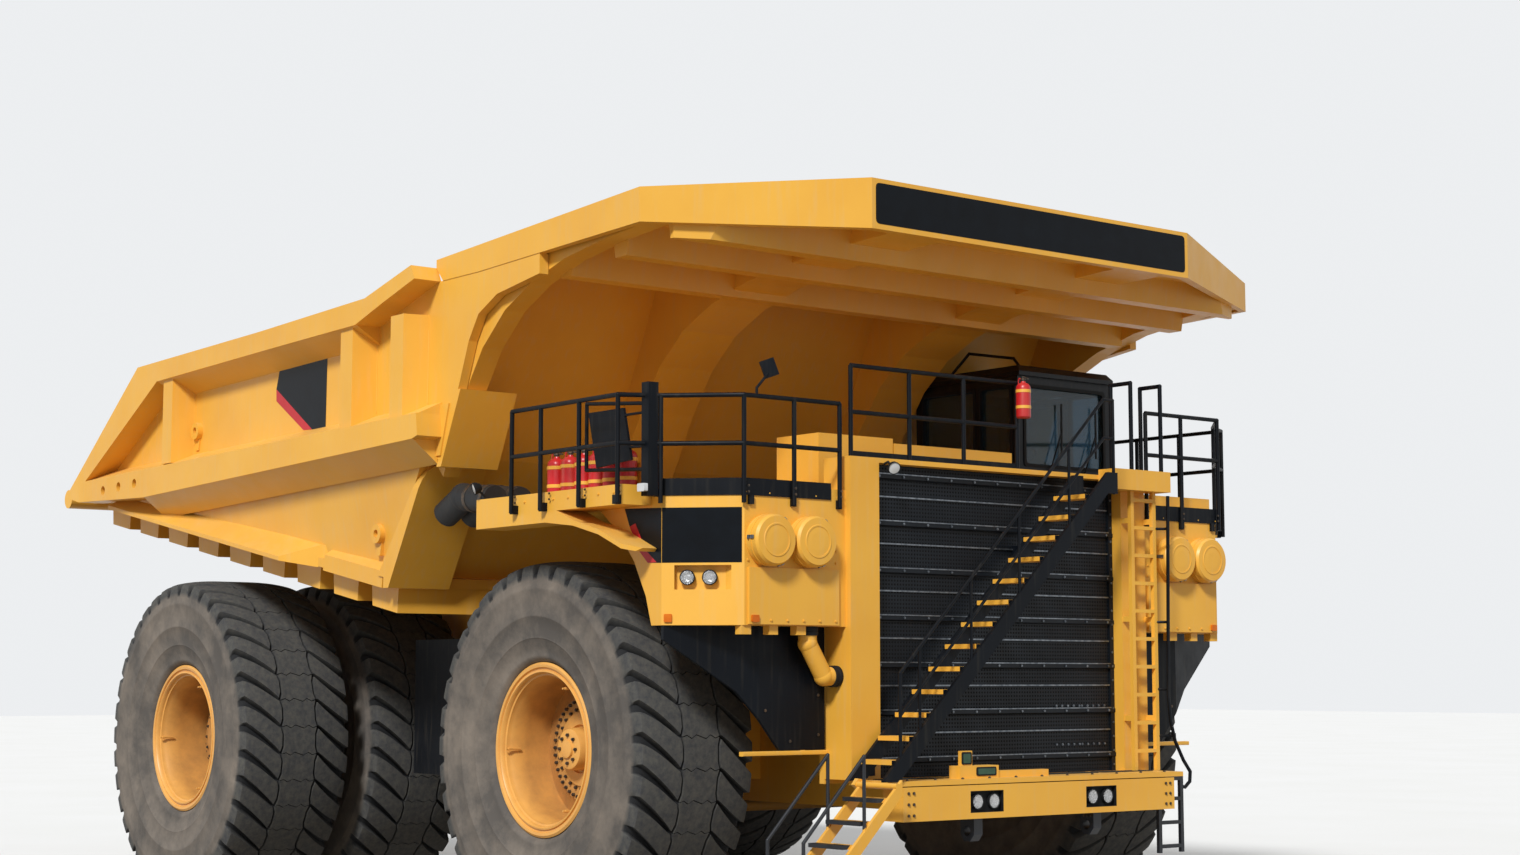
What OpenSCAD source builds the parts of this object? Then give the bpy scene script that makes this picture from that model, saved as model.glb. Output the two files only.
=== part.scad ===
// Rigid mining dump truck, millimetres. +X is the way it drives, +Y its left, +Z up.
// The origin is on the ground, midway between the tail of the bed and the foremost handrail.

/* [Running gear] */
// Distance between the front and rear axles
wheelbase = 7195; // [6900:5:7300]
// Rear axle, behind the origin
rear_axle_x = -3596; // [-3700:1:-3500]
// Outer radius of every tyre, out to the tips of its lugs
tyre_r = 2014; // [1960:1:2030]
// Width of one tyre over its sidewalls
tyre_width = 1476; // [1400:1:1500]
// Lugs round each shoulder of a tyre, an even number
lugs = 38; // [30:2:38]
// Radius of the rim's bead seat
bead_r = 800; // [760:1:820]
// Width of a rim between its flanges
rim_width = 1118; // [1080:1:1140]
// Height of a rim flange over the bead seat
flange_h = 127; // [90:1:140]
// Front wheels, centre of the tyre from the middle of the truck
front_track_y = 3267; // [3220:1:3300]
// Rear inner and outer tyres, from the middle of the truck
inner_dual_y = 2206; // [2190:1:2230]
outer_dual_y = 4026; // [4000:1:4060]

/* [Bed] */
// Half the width of the bed over its top rails
bed_half_y = 4878; // [4850:1:4900]
// Half the width of the canopy
canopy_half_y = 4558; // [4500:1:4600]
// Thickness of the bed's plates with their liners
bed_plate = 110; // [90:5:130]
// Number of bolsters across under the floor
bolsters = 9; // [6:1:9]
// Width along the truck of one bolster
bolster_width = 570; // [400:10:600]
// Depth of a bolster under the floor
bolster_depth = 300; // [220:10:320]

/* [Front] */
// Height of the walking decks
deck_z = 4680; // [4640:5:4720]
// Half the width of the decks at the sides
deck_half_y = 4450; // [4420:5:4480]
// Half the width of the fender boxes under them
box_half_y = 4080; // [4040:5:4120]
// Front face of the fender boxes
fender_x = 6620; // [6600:5:6640]
// Steps in the diagonal stair
stair_steps = 13; // [9:1:14]
// Radius of the handrail tube
rail_r = 24; // [18:1:30]
// Height of the top rail over the right deck, and of the mid rail
rail_top = 880; // [840:10:920]
rail_mid = 400; // [360:10:440]
// How much higher the rails of the centre and of the left deck stand
centre_lift = 410; // [380:10:420]
left_lift = 230; // [200:10:250]

/* [Hidden] */
front_axle_x = rear_axle_x + wheelbase;
axle_z = tyre_r;
skin = 0.3;
kingpin_y = 2020;
axle_tube_r = 500;
pivot_x = -5200;
pivot_z = 3550;
hoist_y = 1600;
HOIST_FOOT = [-1000, 1500];
HOIST_EYE = [-150, 3610];
hoist_eye_r = 130;
seam = 0.05;

PAINT = [0.93, 0.66, 0.13];
DARK = [0.07, 0.08, 0.11];
RUBBER = [0.17, 0.17, 0.18];
STEEL = [0.7, 0.71, 0.72];

// A box between two corners
module block(a, b) {
  translate([min(a[0], b[0]), min(a[1], b[1]), min(a[2], b[2])])
    cube([abs(b[0] - a[0]), abs(b[1] - a[1]), abs(b[2] - a[2])]);
}

// A side outline in X and Z, as thick as from y0 to y1
module slab(pts, y0, y1) {
  translate([0, max(y0, y1), 0]) rotate([90, 0, 0]) linear_extrude(abs(y1 - y0)) polygon(pts);
}

// A plan outline in X and Y, from z0 to z1
module plan(pts, z0, z1) {
  translate([0, 0, min(z0, z1)]) linear_extrude(abs(z1 - z0)) polygon(pts);
}

// A front outline in Y and Z, from x0 to x1
module front(pts, x0, x1) {
  translate([min(x0, x1), 0, 0]) rotate([90, 0, 90]) linear_extrude(abs(x1 - x0)) polygon(pts);
}

// A round bar between two points
module bar(a, b, r) {
  v = b - a;
  translate(a) rotate([0, acos(v[2] / norm(v)), atan2(v[1], v[0])]) cylinder(h = norm(v), r = r);
}

// A bent tube through a list of points, with a slightly fuller ball at each bend
module tube(pts, r) {
  for (i = [0 : len(pts) - 2]) bar(pts[i], pts[i + 1], r);
  if (len(pts) > 2) for (i = [1 : len(pts) - 2]) translate(pts[i]) sphere(r = r * 1.06);
}

// The same thing on the truck's left (1) or right (-1)
module on_side(side) {
  if (side > 0) children();
  else mirror([0, 1, 0]) children();
}
module both_sides() {
  for (side = [1, -1]) on_side(side) children();
}

// A disc or tube turned about the truck's Y axis at x, z, from y0 to y1
module round_y(x, z, y0, y1, r) {
  translate([x, min(y0, y1), z]) rotate([-90, 0, 0]) cylinder(h = abs(y1 - y0), r = r);
}

// A front outline drawn along a line from a to b in X and Z
module along(a, b, pts) {
  translate([a[0], 0, a[1]]) rotate([0, -atan2(b[1] - a[1], b[0] - a[0]), 0]) front(pts, 0, norm(b - a));
}

// Frame: two box rails with a rising rear, open for the axle below
rail_y0 = 720;
rail_y1 = 1180;
rail_top_front = [1150, 3330];
rail_top_rear = [-4900, 4020];
RAIL_NOSE = [[6430, 2100], [5750, 2450]];
RAIL = [[6430, 1400], RAIL_NOSE[0], RAIL_NOSE[1], [2300, 2700], rail_top_front, rail_top_rear,
  [-5060, 3860], [-5300, 3720], [-5420, 3500], [-5300, 3300], [-5000, 3100], [-2700, 3100],
  [-1900, 2600], [-1450, 1600], [-1200, 1400], [5900, 1400]];
module rails() {
  both_sides() {
    slab(RAIL, rail_y0, rail_y1);
    round_y(pivot_x, pivot_z, rail_y0 - 90, rail_y1 + 90, 120);
    round_y(HOIST_FOOT[0], HOIST_FOOT[1], rail_y1, hoist_y + 140, 80);
  }
}

// Tubes and box members across between the two rails
CROSS = [[-3940, 3470, 250], [-1350, 2500, 330], [1250, 2250, 260]];
module cross_tubes() {
  for (c = CROSS) round_y(c[0], c[1], -rail_y0, rail_y0, c[2]);
}

// The collar over the engine that carries the front struts
module front_collar() {
  both_sides() {
    front([[rail_y1, 1650], [rail_y1, 3500], [1620, 3900], [1620, 2950], [1400, 2550], [1400, 1650]],
      3250, 3950);
    difference() {
      block([3250, 1620, 2950], [3950, kingpin_y, 3900]);
      translate([front_axle_x, kingpin_y, 2900]) cylinder(h = 1100, r = 345);
    }
  }
  front([[-1620, 3900], [-rail_y1, 3500], [-rail_y1, 3380], [rail_y1, 3380], [rail_y1, 3500], [1620, 3900],
    [1500, 4000], [-1500, 4000]], 3300, 3900);
}
module frame() {
  color(PAINT) {
    rails();
    cross_tubes();
    front_collar();
  }
}

// Fixed outer tubes of the front struts, in brackets on the collar
module front_struts() {
  color(PAINT) both_sides() {
    difference() {
      translate([front_axle_x, kingpin_y, 2830]) cylinder(h = 1270, r = 345);
      translate([front_axle_x, kingpin_y, 2800]) cylinder(h = 700, r = 260 + skin);
    }
    translate([front_axle_x, kingpin_y, 4100]) cylinder(h = 90, r = 250);
  }
}

// Bumper beam with two hung tow eyes and its ties to the rails
bumper_half_y = 2000;
module bumper() {
  color(PAINT) difference() {
    union() {
      block([6950, -bumper_half_y, 1350], [7250, bumper_half_y, 1690]);
      both_sides() block([6430, rail_y0, 1420], [6950, rail_y1, 1660]);
      both_sides() slab([[6950, 1350], [7150, 1350], [7150, 1180], [7090, 1110], [7000, 1110], [6950,
        1180]],
        820, 940);
      block([6600, -2150, 1700], [7250, 2150, 1750]);
      front([[-2150, 1700], [-2150, 1750], [access_hinge_y, 1780], [access_hinge_y - 50, 1720],
        [access_hinge_y, 1670]], access_x0 - 60, access_x0 - 8);
      translate([access_x0 - 30, access_hinge_y, access_hinge_z]) rotate([0, 90, 0])
        cylinder(h = access_x1 - access_x0 + 30, r = 30);
      both_sides() block([6950, 1000, 1690], [7050, 1100, 1700]);
      block([6990, -1130, 1750], [7150, -580, 1880]);
      block([7040, -1050, 1880], [7080, -890, 2030]);
      block([7020, -580, 1750], [7120, 180, 1820]);
    }
    both_sides() round_y(7045, 1215, 700, 1100, 50);
    both_sides() block([7190, 610, 1410], [7260, 1080, 1630]);
  }
}

// Engine and gearbox as one plain mass
module engine_block() {
  color([0.3, 0.3, 0.3]) {
    block([2300, -600, 1700], [5700, 600, 3300]);
    for (x = [2600, 5100]) block([x, -rail_y0, 1900], [x + 260, rail_y0, 2060]);
  }
}

// Radiator guard: a dark panel with bars across
grille_half_y = 1810;
grille_bars = 7;
guard_x0 = 6280;
guard_x1 = 6700;
guard_z0 = 1750;
guard_z1 = 4980;
pillar_y = 2200;
arm_x0 = 5950;
module grille() {
  color(DARK) {
    block([6430, -grille_half_y, guard_z0], [6540, grille_half_y, guard_z1]);
    for (i = [0 : grille_bars - 1])
      let (z = guard_z0 + 180 + i * (guard_z1 - guard_z0 - 300) / (grille_bars - 1))
      slab([[6540, z - 35], [6575, z - 20], [6575, z + 20], [6540, z + 35]], -grille_half_y, grille_half_y);
    both_sides() block([6540, grille_half_y - 60, guard_z0], [6565, grille_half_y, guard_z1]);
  }
}

// The yellow frame round the guard, on arms that lie on the falling nose of the rails
function nose_z(x) = RAIL_NOSE[1][1] + (x - RAIL_NOSE[1][0]) * (RAIL_NOSE[0][1] - RAIL_NOSE[1][1])
  / (RAIL_NOSE[0][0] - RAIL_NOSE[1][0]);
module grille_pillars() {
  color(PAINT) {
    both_sides() block([guard_x0, grille_half_y, guard_z0], [guard_x1, pillar_y, guard_z1]);
    block([guard_x0, -pillar_y, guard_z1], [guard_x1, pillar_y, guard_z1 + 50]);
    block([guard_x1, 1460, 4860], [guard_x1 + 260, 2360, 5090]);
    both_sides() slab([[arm_x0, nose_z(arm_x0)], [guard_x0, nose_z(guard_x0)], [guard_x0, 2560], [arm_x0,
      2560]],
      rail_y0, pillar_y);
    both_sides() block([guard_x0 - 80, 1700, guard_z0 - 50], [guard_x0, pillar_y, 2560]);
  }
}

// Fender box: front, chamfer and side faces with an arch cut for the steered wheel
FENDER_PLAN = [[fender_x, 2200], [fender_x, 3510], [6020, box_half_y], [5850, box_half_y], [5850,
  deck_half_y],
  [3150, deck_half_y], [3150, 2400], [6280, 2400], [6280, 2200]];
fender_z0 = 3290;
// The arch is round about a point above the axle, from 12 to 60 degrees, then level
ARCH_CENTRE = [3973, 2790];
arch_r = 1952;
arch_z = ARCH_CENTRE[1] + arch_r * sin(60);
ARCH = concat([[3000, ARCH_CENTRE[1]]], [for (a = [0 : 12 : 60]) ARCH_CENTRE + arch_r * [cos(a), sin(a)]],
  [[3000, arch_z]]);
// Thin skirt out to the deck's edge, falling towards the front
SKIRT = [[3150, 4361], [4486, 4367], [5000, 4310], [5450, 4200], [5910, 4017], [5940, 4050], [5450, 4250],
  [5000, 4365], [4700, arch_z], [3150, arch_z]];
// Stubs under the front: from y0 to y1
STUBS = [[2710, 2830], [3070, 3180], [3410, 3530]];

// Puts a child on the chamfer face: X runs back along it, Y points into the box
module on_chamfer() {
  translate([FENDER_PLAN[1][0], FENDER_PLAN[1][1], 0])
    rotate([0, 0, atan2(FENDER_PLAN[2][1] - FENDER_PLAN[1][1], FENDER_PLAN[2][0] - FENDER_PLAN[1][0])])
      children();
}
module fender(side) {
  color(PAINT) on_side(side) {
    difference() {
      plan(FENDER_PLAN, fender_z0, deck_z);
      slab(ARCH, 2300, 5000);
      block([3000, box_half_y, 3200], [6000, 5000, arch_z]);
      on_chamfer() plan([[130, -10], [130, 50], [200, 90], [700, 90], [700, -10]], 3640, 3880);
    }
    block([fender_x, 2310, fender_z0 + 10], [fender_x + 30, 3470, can_z - can_r - 15]);
    for (s = STUBS) block([fender_x - 120, s[0], fender_z0 - 90], [fender_x - 20, s[1], fender_z0]);
    intersection() {
      slab(SKIRT, box_half_y - 5, deck_half_y);
      plan([[3150, box_half_y - 5], [6020, box_half_y - 5], [5850, deck_half_y], [3150, deck_half_y]],
        4000, arch_z);
    }
  }
  if (side > 0) color(PAINT) block([4900, 2400, deck_z], [6400, 3670, deck_z + left_lift - 30]);
}

// Raised deck over the engine, behind the pillars
module centre_deck() {
  color(PAINT) block([2700, -2400, 4560], [6280, 2400, deck_z]);
}

// Four intake cans on the fender fronts
CANS = [2710, 3240];
can_z = 4130;
can_r = 255;
module air_cleaners() {
  color(PAINT) {
    both_sides() for (y = CANS) translate([fender_x, y, can_z]) rotate([0, 90, 0]) rotate_extrude()
      polygon([[0, 0], [can_r, 0], [can_r, 60], [can_r + 7, 60], [can_r + 7, 85], [can_r, 85], [can_r, 150],
        [can_r - 20, 178], [90, 186], [0, 186]]);
    tube([[6480, -2590, fender_z0], [6480, -2590, 3120], [6480, -2380, 2790], [6480, -pillar_y, 2790]], 95);
  }
}

// Dark plates that hang under the fender boxes
module splash_plates() {
  color(DARK) both_sides() {
    intersection() {
      plan([[6290, 2240], [6330, 2240], [6330, 3100], [6030, 4060], [5990, 4060], [6290, 3100]], 1900,
        fender_z0);
      front([[2240, 2050], [2830, 2050], [3330, 2640], [4060, 3150], [4060, fender_z0], [2240,
        fender_z0]], 5900, 6400);
    }
  }
}

// Round lamps of the fender pockets and the bumper
module headlamps() {
  color(STEEL) both_sides() {
    for (y = [730, 960]) translate([7190, y, 1520]) rotate([0, 90, 0]) cylinder(h = 50, r = 80);
    on_chamfer() for (x = [350, 575]) translate([x, 90, 3760]) rotate([90, 0, 0]) cylinder(h = 80, r = 75);
  }
}

// Cab: rear, right, left and front walls under a roof, windows cut
cab_x0 = 3000;
cab_x1 = 4800;
cab_y0 = 2100;
cab_y1 = 3700;
cab_z0 = deck_z;
cab_z1 = 6400;
wall = 90;
door_x0 = 3300;
door_x1 = 4050;
hinge_pin_y = cab_y1 + 20;
hinge_r = 14;
roof_h = 126;
seat_y = (cab_y0 + cab_y1) / 2 - 100;
window_z0 = 5330;
window_z1 = 6280;
// Window openings as x0, y0, x1, y1, all through one wall
WINDOWS = [[cab_x1 - wall, cab_y0 + 120, cab_x1, cab_y1 - 120], [cab_x0, cab_y0 + 200, cab_x0 + wall,
  cab_y1 - 200],
  [4150, cab_y0, 4680, cab_y0 + wall], [3120, cab_y0, 4050, cab_y0 + wall], [4150, cab_y1 - wall, 4680,
    cab_y1]];
module cab_shell() {
  color(DARK) difference() {
    block([cab_x0, cab_y0, cab_z0], [cab_x1, cab_y1, cab_z1]);
    block([cab_x0 + wall, cab_y0 + wall, cab_z0 + wall], [cab_x1 - wall, cab_y1 - wall, cab_z1 + 10]);
    for (w = WINDOWS) block([w[0], w[1], window_z0], [w[2], w[3], window_z1]);
    block([door_x0, cab_y1 - wall, cab_z0 + wall], [door_x1, cab_y1, 6320]);
  }
  color(DARK) for (z = HINGES) for (dz = [-30 - skin, 100 + skin]) {
    translate([door_x0, hinge_pin_y, z + dz]) cylinder(h = 30, r = hinge_r);
    block([door_x0 - 60, cab_y1 - 1, z + dz], [door_x0, hinge_pin_y, z + dz + 30]);
  }
}
module cab_glass() {
  color([0.4, 0.55, 0.6, 0.35]) for (w = WINDOWS) {
    if (w[2] - w[0] > wall) block([w[0], w[1] + 40, window_z0], [w[2], w[1] + 60, window_z1]);
    else block([w[0] + 40, w[1], window_z0], [w[0] + 60, w[3], window_z1]);
  }
}
module cab_roof() {
  color(DARK) {
    hull() {
      block([cab_x0 - 40, cab_y0 - 30, cab_z1], [cab_x1 + 60, cab_y1 + 10, cab_z1 + 50]);
      block([cab_x0, cab_y0 + 20, cab_z1 + 60], [cab_x1, cab_y1 - 50, cab_z1 + roof_h]);
    }
    tube([[3595, cab_y0 + 40, cab_z1 + roof_h - 10], [3928, cab_y0 + 40, 6757], [4700, cab_y0 + 40, 6617],
      [4790, cab_y0 + 40, cab_z1 + roof_h - 10]], stair_rail_r);
  }
}
module cab_interior() {
  color([0.12, 0.12, 0.13]) {
    block([3500, seat_y - 200, cab_z0 + wall], [3850, seat_y + 200, 5150]);
    block([3380, seat_y - 240, 5150], [4000, seat_y + 240, 5290]);
    block([3380, seat_y - 240, 5290], [3500, seat_y + 240, 5950]);
    block([cab_x1 - 500, cab_y0 + 200, cab_z0 + wall], [cab_x1 - 150, cab_y1 - 200, 5300]);
    bar([cab_x1 - 500, seat_y, 5200], [cab_x1 - 680, seat_y, 5500], 35);
    translate([cab_x1 - 680, seat_y, 5500]) rotate([0, -30, 0]) {
      rotate_extrude() translate([210, 0]) circle(r = 22);
      block([-30, -205, -12], [30, 205, 12]);
    }
  }
}

// Cab door with its window, hung at its rear edge on the outside of the cab
HINGES = [4950, 5950];
door_gap = 8;
module cab_door() {
  color(DARK) {
    difference() {
      block([door_x0 + door_gap, cab_y1 - 60, cab_z0 + 110], [door_x1 - door_gap, cab_y1, 6310]);
      block([door_x0 + 100, cab_y1 - 80, 5400], [door_x1 - 100, cab_y1 + 10, 6220]);
    }
    for (z = HINGES) {
      translate([door_x0, hinge_pin_y, z]) cylinder(h = 100, r = hinge_r);
      block([door_x0, cab_y1 + 4, z], [door_x0 + 60, hinge_pin_y, z + 100]);
      block([door_x0 + 30, cab_y1 - 2, z], [door_x0 + 60, cab_y1 + 5, z + 100]);
    }
  }
}

// Diagonal stair across the guard, from the right bumper end up to the left
step_rise = 232;
step_run = 234;
stair_y0 = -2060;
stair_z0 = 1960;
stair_x0 = 6740;
stair_x1 = 7290;
head_y = stair_y0 + stair_steps * step_run;
head_z = stair_z0 + stair_steps * step_rise;
module diagonal_stair() {
  color(DARK) {
    for (x = [stair_x0, stair_x1 - 40])
      front([[stair_y0 - 230, stair_z0 - 210], [stair_y0 - 20, stair_z0 - 210], [head_y, head_z - 210],
        [head_y + 150, head_z - 210], [head_y + 150, head_z + 20], [head_y, head_z + 20],
        [stair_y0 - 230, stair_z0 - 190]], x, x + 40);
    for (i = [0 : stair_steps - 1])
      block([stair_x0 + 40, stair_y0 + i * step_run - 90, stair_z0 + i * step_rise - 45],
        [stair_x1 - 40, stair_y0 + i * step_run + 110, stair_z0 + i * step_rise]);
    stair_rail();
    block([6700, -2000, 1790], [stair_x0, -1920, 1890]);
    block([6540, 250, 4080], [stair_x0, 330, 4200]);
  }
}
stair_rail_r = 18;
STAIR_RAIL = [[-2050, 1850], [-2050, 2820], [943, 5786], [1090, 5786], [1090, 4760]];
STAIR_POSTS = [-1785, -1067, -365, 394];
module stair_rail() {
  x = stair_x1 - 20;
  tube([for (p = STAIR_RAIL) [x, p[0], p[1]]], stair_rail_r);
  tube([[x, -2050, 2400], [x, 943, 5366], [x, 1090, 5366]], stair_rail_r - 2);
  for (y = STAIR_POSTS) bar([x, y, stair_z0 + (y - stair_y0) * step_rise / step_run - 100],
    [x, y, 2820 + (y + 2050) * 2966 / 2993], stair_rail_r - 2);
}

// Upright ladder on the left pillar and the short one under the bumper
// The short ladder under the platform stands behind the way of a tow pin
step_x0 = 6945;
module left_ladder() {
  color(PAINT) {
    for (y = [1815, 2175]) block([6800, y, 1750], [6850, y + 50, 4860]);
    for (i = [0 : 9]) block([6800, 1865, 1950 + i * 310], [6850, 2175, 1990 + i * 310]);
    for (z = [2300, 3400, 4500]) for (y = [1815, 2175]) block([6700, y, z], [6800, y + 50, z + 60]);
    for (y = [2040, 2400]) block([step_x0, y, 850], [step_x0 + 40, y + 50, 1700]);
    block([step_x0, 2040, 1640], [step_x0 + 40, 2450, 1700]);
    for (z = [900, 1160, 1420]) block([step_x0, 2090, z], [step_x0 + 40, 2400, z + 40]);
  }
}

// Access stair, lowered beside the right bumper end
access_hinge_y = -2330;
access_hinge_z = 1720;
access_x0 = 6960;
access_x1 = 7540;
// Its rail from the hinge in Y and Z. It starts well out, so that it folds clear of the diagonal stair
ACCESS_RAIL = [[-420, -440], [-420, 300], [-1180, -495], [-1180, -1234]];
module access_stair() {
  color(PAINT) difference() {
    access_flight();
    translate([access_x0 - 30, access_hinge_y, access_hinge_z]) rotate([0, 90, 0]) cylinder(h = 700,
      r = 30.3);
  }
}
module access_flight() {
    for (x = [access_x0, access_x1 - 40])
      front([[access_hinge_y + 60, access_hinge_z + 60], [access_hinge_y + 60, access_hinge_z - 90],
        [access_hinge_y - 1250, access_hinge_z - 1400], [access_hinge_y - 1330, access_hinge_z - 1300]],
        x, x + 40);
    for (i = [0 : 5])
      block([access_x0 + 35, access_hinge_y - 70 - i * 220, access_hinge_z - 150 - i * 215],
        [access_x1 - 35, access_hinge_y - 245 - i * 220, access_hinge_z - 110 - i * 215]);
  for (x = [access_x0 + 20, access_x1 - 20])
    tube([for (p = ACCESS_RAIL) [x, access_hinge_y + p[0], access_hinge_z + p[1]]], stair_rail_r);
}

// Handrails of the decks: posts on feet that hang on the deck's edge, two rails and a toe board
rail_y = deck_half_y + 70;
SIDE_RAIL = [[6650, 2300], [6650, 3540], [6080, 4140], [5880, rail_y], [3950, rail_y]];
module rail_run(pts, heights) {
  for (z = heights) tube([for (p = pts) [p[0], p[1], z]], rail_r);
}
module posts(pts, z0, z1) {
  for (p = pts) bar([p[0], p[1], z0], [p[0], p[1], z1], rail_r);
}
module feet(pts, dx, dy) {
  for (p = pts) block([p[0] - (dx == 0 ? 30 : 0), p[1] - (dy == 0 ? 30 : 0), 4480],
    [p[0] + (dx == 0 ? 30 : dx), p[1] + (dy == 0 ? 30 : dy), 4570]);
}
module side_rails(side) {
  lift = side > 0 ? left_lift : 0;
  heights = [deck_z + rail_mid + lift, deck_z + rail_top + lift];
  on_side(side) {
    rail_run(SIDE_RAIL, heights);
    posts(concat(SIDE_RAIL, [[6650, 2900], [5200, rail_y], [4500, rail_y]]), 4490, heights[1]);
    feet([[6650, 2300], [6650, 2900], [6650, 3440]], -30, 0);
    feet([[5820, rail_y], [5200, rail_y], [4500, rail_y], [3950, rail_y]], 0, deck_half_y - rail_y);
    plan([[fender_x, 2400], [fender_x + 12, 2400], [fender_x + 12, 3516], [6024, box_half_y + 12], [6024,
      box_half_y],
      [fender_x, 3510]], 4570, deck_z + 60);
  }
}
module front_rails() {
  rail_run([[6650, -2150], [6650, 240]], [deck_z + rail_mid + centre_lift,
    deck_z + rail_top + centre_lift]);
  posts([[6650, -2150], [6650, -1340], [6650, -560], [6650, 240]], guard_z1 + 50,
    deck_z + rail_top + centre_lift);
  block([6640, -2150, guard_z1 + 50], [6652, 240, guard_z1 + 110]);
}
// Grab loops beside the landing at the head of the stair
// Columns: y, height of the rear foot
LANDING_LOOPS = [[1840, guard_z1 + 50], [2330, deck_z]];
module landing_loops() {
  for (p = LANDING_LOOPS) tube([[6850, p[0], 5090], [6850, p[0], 6080], [6550, p[0], 6080], [6550, p[0],
    p[1]]], rail_r);
}
// Square post at the right rear corner of the chamfer
module corner_post() {
  block([5960, -4290, 4560], [6080, -4170, 5690]);
  block([5960, -4170, 4560], [6015, -box_half_y, 4640]);
}
module handrails() {
  color(DARK) {
    for (side = [1, -1]) side_rails(side);
    front_rails();
    landing_loops();
    corner_post();
  }
}

// Two exhaust outlets: a level pipe out of the fender box, an elbow and a falling end, open at the tip
EXHAUST = [[3150, 4700], [2500, 4760], [2120, 4590]];
EXHAUST_Y = [-4210, -3880];
exhaust_r = 150;
// A point of the outline, moved by a share of the way to the next one
function exhaust_at(i, share, y) = let (p = EXHAUST[i] + share * (EXHAUST[i + 1] - EXHAUST[i])) [p[0], y,
  p[1]];
module exhausts() {
  color(DARK) for (y = EXHAUST_Y) difference() {
    tube([exhaust_at(0, -0.05, y), exhaust_at(0, 1, y), exhaust_at(1, 1, y)], exhaust_r);
    bar(exhaust_at(1, 0.2, y), exhaust_at(1, 1.1, y), exhaust_r - 12);
    block([EXHAUST[0][0], y - 200, EXHAUST[0][1] - 200], [EXHAUST[0][0] + 200, y + 200,
      EXHAUST[0][1] + 200]);
  }
}

module deck_boxes() {
  color(PAINT) {
    block([5200, -1950, deck_z], [5900, -900, 5350]);
    block([5300, -880, deck_z], [5900, 900, 5300]);
  }
}
// Fire bottles on the right deck, one more on the centre rail
bottle_r = 105;
module bottle(r, h) {
  rotate_extrude() polygon([[0, 0], [r, 0], [r, h * 0.68], [r * 0.7, h * 0.8], [r * 0.35, h * 0.84],
    [r * 0.35, h], [0, h]]);
}
module bottles() {
  color([0.75, 0.1, 0.1]) {
    for (i = [0 : 5]) translate([3800 + i * 260, -3850, deck_z]) bottle(bottle_r, 520);
    translate([6650 + rail_r + skin + 80, 240, deck_z + rail_mid + centre_lift + 90]) bottle(80, 460);
  }
}
// A small mirror on the right front rail, and a tall one in its frame beside the square post
module mirrors() {
  color(DARK) {
    tube([[6650, -3380, deck_z + rail_top + rail_r + skin], [6650, -3380, 5640], [6650, -3222, 5810]], 14);
    translate([6650, -3222, 5850]) rotate([20, 0, -30]) block([-18, -75, -90], [18, 75, 90]);
    tube([[5935, -4230, 5170], [5935, -4230, 5490], [4915, -4230, 5575], [4915, -4230, 4890], [5935,
      -4230, 4830],
      [5935, -4230, 5170]], 20);
    block([5935, -4250, 5150], [5960, -4210, 5190]);
    slab([[4960, 5475], [5580, 5475], [5720, 4940], [5110, 4900]], -4244, -4216);
    bar([5580, -4230, 5400], [5935, -4230, 5400], 14);
    bar([4915, -4230, 5100], [5935, -4230, 5060], 14);
  }
}

// Tank on the right rail between the wheels
module fuel_tank() {
  color(PAINT) {
    block([-1000, -2750, 1600], [850, -1880, 3250]);
    block([250, -1880, 1900], [850, -rail_y1, 2500]);
  }
}

strut_seat_z = 2410;

// Rear axle: banjo housing with two tubes that carry the dual wheels
module rear_axle() {
  color(PAINT) {
    translate([rear_axle_x, 0, axle_z]) rotate([90, 0, 0]) rotate_extrude()
      polygon([[0, -1050], [520, -1050], [600, -900], [760, -520], [820, -330], [820, 330], [760, 520],
        [600, 900],
        [520, 1050], [0, 1050]]);
    round_y(rear_axle_x, axle_z, -2900, 2900, axle_tube_r);
    block([-2900, -260, 1800], [-1690, 260, 2300]);
    both_sides() block([-4420, 780, 2000], [-3800, 1120, strut_seat_z]);
  }
}
module rear_struts() {
  color(PAINT) both_sides() {
    translate([-4230, 950, strut_seat_z]) cylinder(h = 3100 - strut_seat_z, r = 150);
  }
}

// Bed floor with its bolsters; its edge is the lip along each side
FLOOR_REAR = [-7540, 5480];
FLOOR_FRONT = [1250, 3914];
rail_depth = 328;
side_in = bed_half_y - rail_depth - bed_plate;
side_out = side_in + bed_plate;
floor_slope = (FLOOR_REAR[1] - FLOOR_FRONT[1]) / (FLOOR_FRONT[0] - FLOOR_REAR[0]);
function floor_z(x) = FLOOR_FRONT[1] + (FLOOR_FRONT[0] - x) * floor_slope;
floor_half_y = side_in;
bolster_half_y = side_in - 150;
bolster_x = -6800;
tail_half_y = bed_half_y - 130;
bolster_pitch = 930;
beam_drop = bed_plate + bolster_depth;
function under_z(x) = floor_z(x) - beam_drop;
module bed_floor() {
  color(PAINT) {
    slab([FLOOR_REAR, FLOOR_FRONT, FLOOR_FRONT - [0, bed_plate], FLOOR_REAR - [0, bed_plate]],
      -floor_half_y, floor_half_y);
    for (i = [0 : bolsters - 1]) let (x0 = bolster_x + i * bolster_pitch, x1 = x0 + bolster_width)
      slab([[x0 - 30, floor_z(x0 - 30) - bed_plate / 2], [x1 + 30, floor_z(x1 + 30) - bed_plate / 2],
        [x1, under_z(x1)],
        [x0, under_z(x0)]], -bolster_half_y, bolster_half_y);
    round_y(-7320, floor_z(-7320) - bed_plate - 30, -tail_half_y, tail_half_y, 130);
  }
}

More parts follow.
